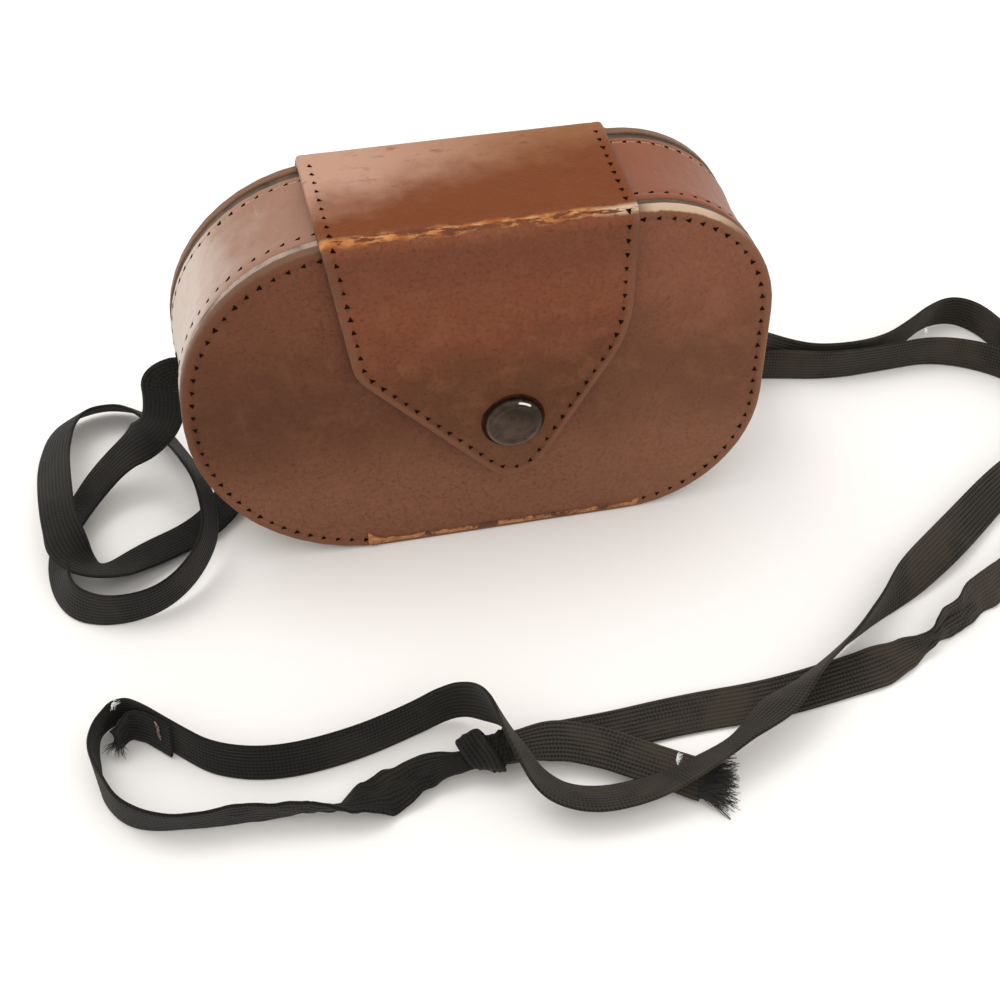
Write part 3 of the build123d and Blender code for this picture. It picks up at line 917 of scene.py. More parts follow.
@dataclass
class Tape:
    """A length of flat woven tape along one smooth line, in mm; lean is its turn from standing on edge."""

    name: str
    stops: Sequence[Stop]
    widths: Optional[dict[int, tuple[float, float, float]]] = None
    pinch: Optional[dict[int, float]] = None
    crumple: Optional[dict[int, float]] = None
    width: float = 8.5
    thickness: float = 0.75
    resolution: int = 10

    def line(self) -> list[Vector]:
        """Points read from the smooth line through the route's control points, in metres.

        Returns:
            The points, in metres.
        """
        data = bpy.data.curves.new(self.name + "_line", "CURVE")
        data.dimensions, data.resolution_u = "3D", self.resolution
        spline = data.splines.new("NURBS")
        spline.points.add(len(self.stops) - 1)
        for point, stop in zip(spline.points, self.stops):
            point.co = (stop[0] * MM, stop[1] * MM, stop[2] * MM, 1.0)
        spline.order_u = 3
        spline.use_endpoint_u = True
        carrier = bpy.data.objects.new(self.name + "_line", data)
        bpy.context.scene.collection.objects.link(carrier)
        bpy.context.view_layer.update()
        mesh = bpy.data.meshes.new_from_object(carrier)
        points = [v.co.copy() for v in mesh.vertices]
        bpy.data.objects.remove(carrier)
        bpy.data.curves.remove(data)
        bpy.data.meshes.remove(mesh)
        return points

    def stations(self, line: Sequence[Vector]) -> list[int]:
        """The sample nearest each control point, in order.

        Args:
            line: the tape's samples.

        Returns:
            The number of a sample for each control point.
        """
        found, last = [], 0
        span = len(line) / max(len(self.stops) - 1, 1)
        for i, stop in enumerate(self.stops):
            here = Vector(stop[:3]) * MM
            low = max(last, int((i - 1.5) * span))
            high = min(len(line) - 1, int((i + 1.5) * span) + 1)
            last = min(range(low, max(high, low + 1)), key=lambda k: (line[k] - here).length)
            found.append(last)
        found[0], found[-1] = 0, len(line) - 1
        return found

    def along(self, values: Sequence, stations: Sequence[int], count: int) -> list:
        """Values between the control points, one for each sample.

        Args:
            values: one value for each control point.
            stations: the sample nearest each.
            count: the number of samples.

        Returns:
            One value for each sample.
        """
        out = []
        for k in range(count):
            i = max(j for j, at in enumerate(stations) if at <= k)
            i = min(i, len(stations) - 2)
            a, b = stations[i], stations[i + 1]
            t = 0.0 if b == a else min(1.0, (k - a) / (b - a))
            t = t * t * (3 - 2 * t) if not isinstance(values[0], Vector) else t
            out.append(values[i] * (1 - t) + values[i + 1] * t)
        return out

    def ways(self, tangents: Sequence[Vector], stations: Sequence[int]) -> list[Vector]:
        """The direction of the tape's width at each control point.

        Args:
            tangents: the line's direction at each sample.
            stations: the sample nearest each control point.

        Returns:
            A unit vector for each control point.
        """
        out = []
        for i, stop in enumerate(self.stops):
            if self.widths and i in self.widths:
                out.append(Vector(self.widths[i]).normalized())
                continue
            t = tangents[stations[i]]
            side = Vector((t.x, t.y, 0.0)).normalized().cross(UP)
            up = (UP - t * t.z).normalized()
            angle = math.radians(stop[3] or 0.0)
            out.append(up * math.cos(angle) + side * math.sin(angle))
        return out

    def smooth_ways(self, tangents: Sequence[Vector], stations: Sequence[int]) -> list[Vector]:
        """The direction of the tape's width at each sample, evened out.

        Args:
            tangents: the line's direction at each sample.
            stations: the sample nearest each control point.

        Returns:
            A vector for each sample.
        """
        count = len(tangents)
        way = self.along(self.ways(tangents, stations), stations, count)
        for _ in range(4):
            way = [(way[max(k - 1, 0)] + way[k] + way[min(k + 1, count - 1)]) / 3 for k in range(count)]
        return way

    def amounts(self, given: Optional[dict[int, float]], plain: float, stations: Sequence[int],
                count: int) -> list[float]:
        """An amount for each sample, from the control points that give one."""
        return self.along([(given or {}).get(i, plain) for i in range(len(self.stops))], stations, count)

    def build(self) -> tuple[bpy.types.Object, list[Vector]]:
        """Make the tape's mesh.

        Returns:
            The piece and the points of its centreline in metres.
        """
        line = self.line()
        count = len(line)
        stations = self.stations(line)
        tangents = [(line[min(k + 1, count - 1)] - line[max(k - 1, 0)]).normalized() for k in range(count)]
        way = self.smooth_ways(tangents, stations)
        narrow = self.amounts(self.pinch, 1.0, stations, count)
        rumple = self.amounts(self.crumple, 0.0, stations, count)
        loop = [*TAPE_PROFILE, *((c, -h) for c, h in TAPE_PROFILE[-2:0:-1])]
        vertices, uvs, gone = [], [], 0.0
        for k in range(count):
            gone += (line[k] - line[k - 1]).length if k else 0.0
            w = (way[k] - tangents[k] * way[k].dot(tangents[k])).normalized()
            n = tangents[k].cross(w)
            half = self.width / 2 * narrow[k]
            low = abs(w.z) * half + abs(n.z) * self.thickness / 2
            lift = Vector((0, 0, max(0.0, low * MM - line[k].z + TABLE_GAP)))
            for c, h in loop:
                ripple = rumple[k] * (noise.noise(Vector((c * 1.7, gone * 210, 3.1))) * 1.6
                                      + noise.noise(Vector((c * 4.0, gone * 420, 7.7))) * 0.6)
                cup = 0.10 * (1 - c * c) + ripple
                out = w * (c * half) + n * (h * self.thickness / 2 + cup)
                spot = line[k] + out * MM + lift
                vertices.append(Vector((spot.x, spot.y, max(spot.z, LOWEST))))
                uvs.append((c * self.width / 2, gone / MM))
        return self.skin(vertices, uvs, len(loop), count), line

    def skin(self, vertices: Sequence[Vector], uvs: Sequence[Point2], ring: int,
             count: int) -> bpy.types.Object:
        """Close the cross-sections to one mesh.

        Args:
            vertices: the points of every cross-section in order, in metres.
            uvs: their place across and along the tape, in mm.
            ring: the number of points in a cross-section.
            count: the number of cross-sections.

        Returns:
            The tape's piece.
        """
        faces = []
        for k in range(count - 1):
            for j in range(ring):
                a, b = k * ring + j, k * ring + (j + 1) % ring
                faces.append((a, a + ring, b + ring, b))
        faces.append(tuple(range(ring)))
        faces.append(tuple(reversed(range((count - 1) * ring, count * ring))))
        mesh = bpy.data.meshes.new(self.name)
        mesh.from_pydata(vertices, [], faces)
        layer = mesh.uv_layers.new(name="flat")
        for face_loop in mesh.loops:
            layer.data[face_loop.index].uv = uvs[face_loop.vertex_index]
        piece = bpy.data.objects.new(self.name, mesh)
        bpy.context.scene.collection.objects.link(piece)
        face_outwards(piece)
        soften(piece, 60)
        return piece


@dataclass
class NeckStrap:
    """The woven neck strap: two runs from the case's sides to a knot in front, and its frayed tail."""

    width: float = 8.5
    left_slot: tuple[float, float, float] = (-58.6, 5.0, 36.0)
    right_slot: tuple[float, float, float] = (58.6, 5.0, 36.0)
    knot_centre: tuple[float, float, float] = (-12.9, -76.3, 4.2)

    def long_run(self) -> Tape:
        """From the left slot in two loops, behind the case, round outside the view and along the front.

        Returns:
            The tape, ready to build.
        """
        stops = [
            (-58.6, 5.0, 36.0, None), (-61.4, 5.0, 35.6, None), (-61.4, 5.6, 30.5, None),
            (-62.3, 7.5, 24.0, None), (-64.8, 11.0, 17.5, None), (-70.0, 14.2, 11.5, None),
            (-76.6, 13.2, 6.4, -88), (-83.0, 6.8, 2.8, -68), (-87.6, -6.3, 3.0, -48),
            (-86.5, -21.4, 4.1, -16), (-77.5, -27.0, 4.3, 3), (-66.0, -25.4, 4.8, 8), (-57.0, -16.5, 8.0, 0),
            (-55.8, -3.6, 9.6, -24), (-58.5, 9.5, 7.6, -33), (-62.0, 21.2, 4.6, -37), (-68.0, 35.2, 4.0, -44),
            (-77.0, 39.0, 4.0, -46), (-85.4, 34.6, 4.4, -52), (-87.5, 20.0, 7.2, -60), (-87.1, 7.4, 9.6, -64),
            (-86.3, -4.6, 9.6, -62), (-84.0, -12.9, 6.6, -106), (-77.7, -15.6, 3.9, -116),
            (-69.1, -9.4, 2.0, -94), (-57.8, -3.0, 0.9, -94), (-51.0, 4.8, 1.9, -98), (-47.0, 13.1, 3.4, -40),
            (-39.0, 20.8, 4.2, -10), (-26.0, 24.0, 4.3, -4), (-8.0, 24.0, 4.3, 0), (12.0, 25.0, 4.3, 0),
            (33.0, 24.0, 4.3, 0), (55.0, 24.5, 4.3, 0), (75.0, 21.0, 4.3, 0), (88.7, 17.0, 4.3, 6),
            (102.0, 17.2, 4.3, 8), (115.0, 18.1, 4.3, 6), (127.0, 11.5, 4.3, 2), (133.5, 1.5, 4.3, 0),
            (133.0, -10.5, 4.3, 8), (123.0, -21.0, 4.3, 16), (109.3, -29.4, 4.2, 48), (92.1, -42.6, 4.2, 62),
            (80.6, -50.6, 4.3, 44), (70.4, -57.9, 4.4, 0), (60.4, -65.6, 4.9, -22), (50.3, -73.0, 6.6, -32),
            (41.7, -79.2, 6.8, -66), (33.2, -84.3, 5.8, -42), (23.7, -87.9, 4.8, -52),
            (13.6, -90.6, 3.9, -64), (2.8, -90.8, 3.9, -68), (-4.9, -88.0, 6.6, -60),
            (-8.3, -82.0, 12.2, -33), (-10.0, -74.0, 12.6, -14), (-11.7, -68.0, 8.4, 2),
            (-16.5, -63.4, 5.0, 4), (-24.5, -66.1, 4.3, 6), (-36.5, -69.7, 4.3, 6),
            (-50.0, -71.0, 4.3, 6), (-60.5, -67.8, 4.3, 6), (-66.5, -62.0, 4.3, 5),
            (-72.4, -55.6, 4.3, 3), (-76.4, -51.6, 4.3, -12), (-80.9, -54.6, 4.3, -14),
            (-82.2, -62.0, 4.3, 8), (-80.7, -70.1, 4.3, -3), (-76.8, -76.8, 4.2, 6), (-68.5, -80.1, 4.1, 22),
            (-55.0, -80.4, 4.0, 16), (-44.0, -81.9, 3.4, 30), (-36.0, -81.6, 2.8, 74),
            (-29.4, -79.4, 2.6, 98), (-24.8, -77.2, 3.0, 104), (-18.5, -77.0, 3.6, 96),
            (-13.5, -76.6, 4.0, 90)]
        widths = {0: (0, 0, -1), 1: (0.55, 0, -0.83), 2: (1, -0.05, -0.05), 3: (1, -0.1, -0.08),
                  4: (0.9, -0.35, -0.3), 5: (0.55, -0.8, 0.1)}
        crumple = {69: 0.1, 70: 0.35, 71: 0.6, 72: 1.0, 73: 1.15, 74: 0.9, 75: 0.6, 76: 0.3}
        pinch = {71: 0.95, 72: 1.0, 73: 0.95, 74: 0.8, 75: 0.6, 76: 0.5}
        return Tape("strap_long", stops, widths, pinch, crumple)

    def outer_run(self) -> Tape:
        """From the right slot round outside the view and under the front run to the knot.

        Returns:
            The tape, ready to build.
        """
        stops = [
            (58.6, 5.0, 36.0, None), (61.3, 5.0, 35.6, None), (61.2, 8.5, 28.5, None),
            (64.0, 17.0, 17.0, None), (73.0, 23.2, 7.4, 0), (84.0, 21.0, 4.5, 6), (94.0, 19.7, 4.4, 8),
            (103.0, 20.8, 4.4, 9),
            (111.0, 25.4, 4.4, 10), (118.5, 30.6, 4.4, 12), (125.4, 31.8, 4.4, 6), (130.2, 27.0, 4.4, 0),
            (132.6, 17.5, 4.3, 0), (137.0, 6.0, 4.3, 0), (141.0, -8.0, 4.3, 0), (138.5, -24.0, 4.3, 6),
            (128.5, -37.0, 4.3, 16), (114.1, -47.2, 4.1, 30), (99.0, -54.4, 3.4, 30),
            (89.7, -59.5, 3.6, 28), (83.0, -63.6, 3.4, 24), (77.3, -67.0, 3.0, 30), (71.5, -69.0, 2.4, 60),
            (65.0, -70.5, 1.8, 74), (58.9, -71.2, 1.4, 78),
            (43.3, -73.4, 1.3, 80), (26.3, -73.1, 1.2, 82), (9.2, -74.3, 1.2, 84), (-0.1, -73.9, 1.6, 84),
            (-8.7, -74.8, 2.6, 80), (-13.0, -75.6, 3.4, 80)]
        widths = {0: (0, 0, 1), 1: (0.55, 0, 0.83), 2: (1, 0, 0), 3: (0.85, 0, 0.5)}
        pinch = {20: 0.8, 21: 0.35, 22: 0.75, 28: 0.9, 29: 0.7, 30: 0.6}
        crumple = {18: 0.3, 19: 0.6, 20: 1.0, 21: 0.8, 22: 0.6, 23: 0.2, 29: 0.4}
        return Tape("strap_outer", stops, widths, pinch, crumple)

    def tail(self) -> Tape:
        """The tail past the knot, lying over the other run.

        Returns:
            The tape, ready to build.
        """
        stops = [(-12.5, -77.4, 5.0, -60), (-8.0, -77.2, 5.6, -70), (-0.1, -76.8, 5.2, -76),
                 (7.7, -79.4, 4.2, -82), (14.7, -83.4, 3.0, -84), (20.6, -86.8, 2.2, -82),
                 (24.6, -89.4, 1.9, -80)]
        return Tape("strap_tail_end", stops, pinch={0: 0.5, 1: 0.72, 2: 0.95},
                    crumple={0: 0.3, 1: 0.4, 2: 0.15, 6: 0.3})

    def knot(self) -> bpy.types.Object:
        """The overhand knot: three tight turns of tape round each other.

        Returns:
            The new piece.
        """
        x, y, z = self.knot_centre
        turns = []
        for name, radius, tilt, shift, wide, phase in (
                ("knot_core", 1.9, 0.2, 0.2, 6.6, 0), ("knot_inner", 2.7, 0.55, 0.9, 5.6, 80),
                ("knot_outer", 3.3, -0.6, -0.9, 5.0, 200)):
            stops, widths, rumple = [], {}, {}
            for i in range(11):
                a = math.radians(phase + i * 46)
                swell = radius * (1 + 0.10 * math.sin(2.3 * i + phase))
                stops.append((x + shift + tilt * math.sin(a + 0.6) * radius, y + swell * 1.1 * math.cos(a),
                              z + swell * 0.98 * math.sin(a), 0.0))
                widths[i] = (1.0, 0.35 * math.cos(a + 0.8), 0.45 * math.sin(a + 1.0))
                rumple[i] = 0.55
            turns.append(Tape(name, stops, widths, {0: 0.5, 10: 0.5}, rumple, wide).build()[0])
        deselect_all()
        for turn in turns:
            turn.select_set(True)
        bpy.context.view_layer.objects.active = turns[0]
        bpy.ops.object.join()
        return named(turns[0], "strap_knot_turns")

    def join_patch(self) -> bpy.types.Object:
        """The sewn join's second layer, whose cut end stands free."""
        stops = [(-68.2, -61.7, 4.5, 6), (-70.9, -58.9, 4.5, 4), (-74.0, -56.4, 4.3, 2),
                 (-76.6, -56.6, 4.0, -6), (-77.9, -59.2, 3.7, -12)]
        return Tape("strap_join_patch", stops, pinch={4: 0.85}, crumple={2: 0.2, 3: 0.6, 4: 0.9}).build()[0]

    def join_stitches(self) -> bpy.types.Object:
        """The faded cross-stitches that hold the two ends together.

        Returns:
            The new piece.
        """
        deselect_all()
        bpy.ops.mesh.primitive_cylinder_add(vertices=6, radius=0.16, depth=1.5)
        model = bpy.context.object
        enter_edit(model)
        bpy.ops.mesh.select_all(action="SELECT")
        bpy.ops.mesh.bevel(offset=0.07, segments=1, affect="EDGES")
        leave_edit()
        places, rng = [], random.Random(4)
        for k in range(5):
            lean = Matrix.Rotation(rng.uniform(-0.6, 0.6), 4, Vector((0.68, 0.73, 0)))
            places.append(Matrix.Translation((-70.1, -60.5, 4.7 + k * 0.85)) @ lean)
        return scatter_copies("strap_join_stitches", model, places)

    def strands(self, name: str, root: Vector, way: Vector, spread: float, length: tuple[float, float],
                count: int, radius: float, seed: int, wide: float = 3.6) -> bpy.types.Object:
        """A tuft of loose fibres.

        Args:
            name: the piece's name.
            root: its middle at the tape's end, in mm.
            way: the direction the fibres leave in.
            spread: how far they fan out.
            length: shortest and longest fibre in mm.
            count: number of fibres.
            radius: a fibre's radius in mm.
            seed: keeps the tuft the same each run.
            wide: half the tape's width at the root.

        Returns:
            One mesh of thin bent fibres.
        """
        rng = random.Random(seed)
        side = way.cross(UP).normalized()
        third_turn = 2.0944
        vertices, faces = [], []
        for _ in range(count):
            start = root + side * rng.uniform(-wide, wide) + Vector((0, 0, rng.uniform(-0.3, 0.5)))
            fan = side * rng.uniform(-spread, spread) + Vector((0, 0, rng.uniform(-0.15, 0.5)))
            heading = (way + fan).normalized()
            reach, bend = rng.uniform(*length), side * rng.uniform(-1.2, 1.2)
            base = len(vertices)
            for k in range(5):
                t = k / 4
                centre = start + heading * reach * t + bend * t * t + Vector((0, 0, -reach * 0.28 * t * t))
                centre.z = max(centre.z, 0.2)
                across = heading.cross(Vector((0.2, 0.1, 1))).normalized()
                for c in range(3):
                    turn = Matrix.Rotation(c * third_turn, 3, heading)
                    vertices.append((centre + turn @ across * radius * (1 - 0.6 * t)) * MM)
            for k in range(4):
                for c in range(3):
                    a, b = base + k * 3 + c, base + k * 3 + (c + 1) % 3
                    faces.append((a, b, b + 3, a + 3))
            faces += [(base + 2, base + 1, base), (base + 12, base + 13, base + 14)]
        mesh = bpy.data.meshes.new(name)
        mesh.from_pydata(vertices, [], faces)
        piece = bpy.data.objects.new(name, mesh)
        bpy.context.scene.collection.objects.link(piece)
        face_outwards(piece)
        return piece

    def build(self) -> None:
        tape = WovenTapeFinish().material()
        dusty = WovenTapeFinish("black_braided_tape_faded", -100.0, 1000.0).material()
        black = PlainFibreFinish("black_loose_fibres", "#11110F", "#2A2924").material()
        white = PlainFibreFinish("pale_fluff", "#E9E6DE", "#C9D3D2").material()
        long_piece, long_line = self.long_run().build()
        outer_piece, outer_line = self.outer_run().build()
        tail_piece = self.tail().build()[0]
        knot, patch, stitches = self.knot(), self.join_patch(), self.join_stitches()
        fray = self.strands("strap_fray_strands", Vector((23.8, -88.8, 1.8)), Vector((0.86, -0.3, 0.0)),
                            spread=0.75, length=(2.5, 7.6), count=460, radius=0.13, seed=5, wide=3.9)
        end_fray = self.strands("strap_join_fray", Vector((-77.4, -58.6, 2.6)), Vector((-0.45, -0.75, -0.2)),
                                spread=0.9, length=(0.9, 2.8), count=90, radius=0.08, seed=8, wide=1.0)
        flecks = []
        for i, root in enumerate(((-78.8, -59.6, 2.0), (-77.6, -53.9, 8.2), (19.6, -87.0, 7.0),
                                  (112.4, 19.6, 8.6))):
            flecks.append(self.strands(f"strap_fluff_{i + 1}", Vector(root), Vector((0.8, -0.4, 0.1)),
                                       spread=1.2, length=(0.3, 1.2), count=40, radius=0.07, seed=20 + i,
                                       wide=0.7))
        for piece in (long_piece, outer_piece, tail_piece, knot, patch):
            piece.data.materials.append(dusty if piece in (outer_piece, tail_piece) else tape)
        for piece in (fray, end_fray):
            piece.data.materials.append(black)
        for piece in flecks:
            piece.data.materials.append(white)
        stitches.data.materials.append(ThreadFinish("faded_rose_thread", "#9A7F7B", "#4A3B38").material())
        for piece in (long_piece, outer_piece, tail_piece, knot, patch, stitches, fray, end_fray, *flecks):
            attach(piece, "case_body")
        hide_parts("strap_left_loops", "strap_behind_case", "strap_right_inner",
                    "strap_front_long", "strap_front_short")
        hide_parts("strap_right_outer", "strap_front_under")
        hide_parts("strap_tail")
        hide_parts("strap_knot")
        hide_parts("strap_join")
        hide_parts("strap_fray")


# ---------------------------------------------------------------- leather case

@dataclass
class CaseShape:
    """The case's outline and wall stack, in mm."""

    half_width: float = 58.0
    height: float = 74.5
    corner_bottom_left: float = 37.5
    corner_bottom_right: float = 27.5
    corner_top_right: float = 27.0
    corner_top_left: float = 33.5
    face_y: float = 15.25
    board_y: float = 13.25
    mouth_x: float = 27.0
    fold_left: float = -24.0
    fold_right: float = 33.0
    fold_top: float = 8.0
    mouth_bottom: float = 60.0

    def outline(self, inset: float = 0.0, step: float = 1.2) -> list[Point2]:
        """The outline in x and z, counter-clockwise from the front, moved in by an inset."""
        x, low, high = self.half_width - inset, inset, self.height - inset
        return rounded([(-x, low, self.corner_bottom_left - inset),
                        (x, low, self.corner_bottom_right - inset),
                        (x, high, self.corner_top_right - inset),
                        (-x, high, self.corner_top_left - inset)], step)

    def on_fold(self, x: float, z: float, spare: float = 0.0) -> bool:
        """True on the folded bottom strip."""
        return self.fold_left - spare < x < self.fold_right + spare and z < self.fold_top

    def on_mouth(self, x: float, z: float, spare: float = 0.0) -> bool:
        """True at the open mouth on top."""
        return abs(x) < self.mouth_x + spare and z > self.mouth_bottom


def tangents_of(points: Sequence[Point2], closed: bool) -> list[Vector]:
    """The direction at each point of a line.

    Args:
        points: the line's points.
        closed: True when the last point joins the first.

    Returns:
        A unit vector for each point.
    """
    count = len(points)
    out = []
    for i in range(count):
        a = points[(i - 1) % count] if closed else points[max(i - 1, 0)]
        b = points[(i + 1) % count] if closed else points[min(i + 1, count - 1)]
        out.append((Vector(b) - Vector(a)).normalized())
    return out


@dataclass
class CaseBox:
    """Front face, pasted boards, side bands and the worn bottom fold."""

    shape: CaseShape
    leather: float = 2.0
    board: float = 2.4
    band_drop: float = 0.35
    gusset_leather: float = 1.6
    seam_inset: float = 2.1
    seam_y: float = 9.35
    slit: tuple[float, float, float] = (57.75, 5.0, 36.0)
    rim: tuple = ((0.16, 0.28), (0.30, 0.20), (0.45, 0.08), (0.78, 0.0), (0.22, -0.07), (0.28, -0.03),
                  (0.26, 0.06), (0.9, 0.03), (2.6, 0.02))

    def front_place(self, x: float, v: float, w: float) -> Vector:
        """Flat leather to the front face."""
        return Vector((x, -self.shape.face_y - w, v))

    def waviness(self, x: float, v: float, edge: float) -> float:
        """How far the board-backed face rises and falls, in mm, fading at its edge."""
        fade = min(1.0, max(0.0, (edge - 3.0) / 10.0))
        return fade * (0.22 * noise.noise(Vector((x / 21, v / 17, 1.7))) - 0.05)

    def front_face(self) -> bpy.types.Object:
        """The front panel's grain leather.

        Returns:
            The new piece.
        """
        border = self.shape.outline()
        piece = cut_sheet("case_front_face", border, self.rim, self.leather)
        slice_sheet(piece, 0, [x * 3.0 for x in range(-18, 19)])
        slice_sheet(piece, 1, [3.0 * k for k in range(1, 25)])
        flat_uv(piece)
        edge_distance(piece, border)
        rims = [d.value for d in piece.data.attributes["rim"].data]
        for vertex, edge in zip(piece.data.vertices, rims):
            if vertex.co.z > -1.0:
                vertex.co.z += self.waviness(vertex.co.x, vertex.co.y, edge)
        lay_out(piece, self.front_place)
        soften(piece, 50)
        return piece

    def panel_tones(self, s: Surface, colour: Socket) -> Socket:
        """The panel darkens up to the left and pales to the right; one stretch of its rim turns cream.

        Args:
            s: the panel's material.
            colour: its colour so far.

        Returns:
            The marked colour.
        """
        x, z = s.add(Step.X, s.mm), s.add(Step.Z, s.mm)
        left = s.add(Step.TIMES, s.under(x, -46.0, -12.0), s.add(Step.RANGE, z, 16.0, 40.0))
        colour = s.tint(colour, "#472511", left, 0.42)
        colour = s.tint(colour, "#96694E", s.add(Step.RANGE, x, 8.0, 42.0), 0.12)
        here = s.add(Step.TIMES, s.add(Step.RANGE, x, 28.0, 33.0), s.under(x, 42.0, 52.0))
        ragged = s.share(s.add(Step.RIM), s.add(Step.NOISE, s.mm, 1 / 2.0, 4.0, 0.7), 0.9)
        near = s.under(ragged, 0.75, 1.15)
        worn = s.add(Step.TIMES, s.add(Step.TIMES, here, near), s.add(Step.RANGE, z, 55.0, 62.0))
        return s.tint(colour, "#C4AA90", worn, 0.85)

    def board_piece(self, name: str, front: bool) -> bpy.types.Object:
        """One pasted board; its edge is the pale band between the face and the side.

        Args:
            name: the piece's name.
            front: True for the board behind the front face.

        Returns:
            The new piece.
        """
        border = self.shape.outline(self.band_drop)
        piece = cut_sheet(name, border, ((0.15, 0.16), (0.3, 0.06)), self.board - 0.2)
        slice_sheet(piece, 0, [x * 6.0 for x in range(-9, 10)])
        flat_uv(piece)
        sign = -1 if front else 1
        lay_out(piece, lambda x, v, w: Vector((x, sign * (self.shape.board_y + w), v)))
        face_outwards(piece)
        soften(piece, 50)
        return piece

    def side_path(self, left: bool) -> list[Point2]:
        """The gusset's run along the outline, from mouth to fold or from fold to mouth.

        Args:
            left: True for the left side.

        Returns:
            The points, in mm.
        """
        ring = self.shape.outline(0.0, 1.0)
        run = [p for p in ring
               if (p[0] < 0) == left and not self.shape.on_mouth(*p) and not self.shape.on_fold(*p)]
        jumps = [i for i in range(1, len(run)) if (Vector(run[i]) - Vector(run[i - 1])).length > 3]
        return run[jumps[0]:] + run[:jumps[0]] if jumps else run

    def side_band(self, left: bool) -> bpy.types.Object:
        """One gusset of thin leather, with raised lips, sunk stitch lines and a hollow middle.

        Args:
            left: True for the left side.

        Returns:
            The new piece.
        """
        run = self.side_path(left)
        ways = tangents_of(run, False)
        hollow_to, lip_from = 9.2, 10.6
        half = (2.5, 5.0, 7.5, 8.7, 9.2, 9.45, 9.8, 10.3, 10.75, 11.05, 11.15)
        across = (*(-y for y in reversed(half)), 0.0, *half)
        deselect_all()
        bpy.ops.mesh.primitive_grid_add(x_subdivisions=len(run) - 1, y_subdivisions=len(across) - 1, size=2)
        piece = named(bpy.context.object, "gusset_band_left" if left else "gusset_band_right")
        for vertex in piece.data.vertices:
            i = round((vertex.co.x + 1) / 2 * (len(run) - 1))
            y = across[round((vertex.co.y + 1) / 2 * (len(across) - 1))]
            out = Vector((ways[i].y, -ways[i].x))
            side = abs(y)
            lip = -0.30 * max(0.0, (side - lip_from) / 0.55) ** 2
            groove = -0.16 * math.exp(-((side - self.seam_y) / 0.28) ** 2)
            hollow = -0.55 * (1 - (side / hollow_to) ** 2) if side < hollow_to else 0.0
            uneven = noise.noise(Vector((i / 14, y / 8, 4.0 if left else 9.0)))
            lump = 0.25 * uneven * (1 if side < 8.8 else 0.1)
            end = min(i, len(run) - 1 - i)
            curl = -0.7 * max(0.0, 1 - end / 1.5) ** 2
            place = Vector(run[i]) + out * (lip + groove + hollow + lump + curl - 0.02)
            vertex.co = Vector((place.x, y, place.y)) * MM
        face_outwards(piece)
        middle = sum((v.co for v in piece.data.vertices), Vector()) / len(piece.data.vertices)
        face = max(piece.data.polygons, key=lambda f: abs(f.center.x))
        thicken(piece, self.gusset_leather * 0.9, face.normal.x * (face.center.x - middle.x) < 0)
        soften(piece, 55)
        return piece

    def bottom_fold(self) -> bpy.types.Object:
        """The bottom strip folded up at both faces, its glaze worn off and its edges ragged.

        Returns:
            The new piece.
        """
        radius, spare = 1.5, 0.8
        length = self.shape.fold_right - self.shape.fold_left + 2 * spare
        deselect_all()
        bpy.ops.mesh.primitive_grid_add(x_subdivisions=110, y_subdivisions=44, size=2)
        piece = named(bpy.context.object, "bottom_fold")
        y_out = self.shape.face_y + 0.16
        flat, arc = 2 * (y_out - radius), radius * math.pi / 2
        for vertex in piece.data.vertices:
            t, u = (vertex.co.x + 1) / 2, vertex.co.y
            x = self.shape.fold_left - spare + t * length
            ends, torn = min(t, 1 - t) * length, max(0.0, 1 - t * length / 3.5)
            coarse = noise.noise(Vector((x / 2.1, 2.0 if u > 0 else 8.0, 0.4)))
            fine = noise.noise(Vector((x / 0.6, 5.0 if u > 0 else 1.0, 0.4)))
            rise = 0.35 + 0.75 * coarse + 0.35 * fine
            rise = max(0.15, rise + 0.5 * max(0.0, 1 - ends / 5) + 1.3 * torn)
            s = u * (flat / 2 + arc + rise)
            sign, run = (1 if s > 0 else -1), abs(s)
            if run < flat / 2:
                y, z = run, 0.02
            elif run < flat / 2 + arc:
                a = (run - flat / 2) / radius
                y, z = flat / 2 + radius * math.sin(a), 0.02 + radius * (1 - math.cos(a))
            else:
                y, z = y_out, 0.02 + radius + run - flat / 2 - arc
            lump = 0.10 * noise.noise(Vector((x / 1.1, s / 1.2, 3.0)))
            end = max(0.0, 1 - ends / 1.6)
            y += (0.55 if u < 0 else 0.0) * torn - end * end * 0.35 - max(0.0, lump) * 0.6
            vertex.co = Vector((x, sign * y, max(z, 0.0) + end * end * 0.4)) * MM
        lowest = min(piece.data.polygons, key=lambda f: f.center.z + abs(f.center.y) * 0.01)
        thicken(piece, 0.9, lowest.normal.z > 0)
        soften(piece, 50)
        return piece

    def slit_shadows(self) -> list[bpy.types.Object]:
        """Dark sheets of painted shadow in the sides' slits, where the strap comes out.

        Returns:
            The two slits.
        """
        made = []
        from_middle, y, z = self.slit
        for name, sign in (("strap_slit_shadow_left", -1), ("strap_slit_shadow_right", 1)):
            border = rounded([(x * 0.95, v * 5.3, 0.9) for x, v in ((-1, -1), (1, -1), (1, 1), (-1, 1))], 0.4)
            piece = cut_sheet(name, border, ((0.15, 0.08), (0.25, 0.04)), 0.5)
            lay_out(piece, lambda x, v, w, s=sign: Vector((s * (from_middle + w), y + x, z + v)))
            face_outwards(piece)
            soften(piece)
            made.append(piece)
        return made

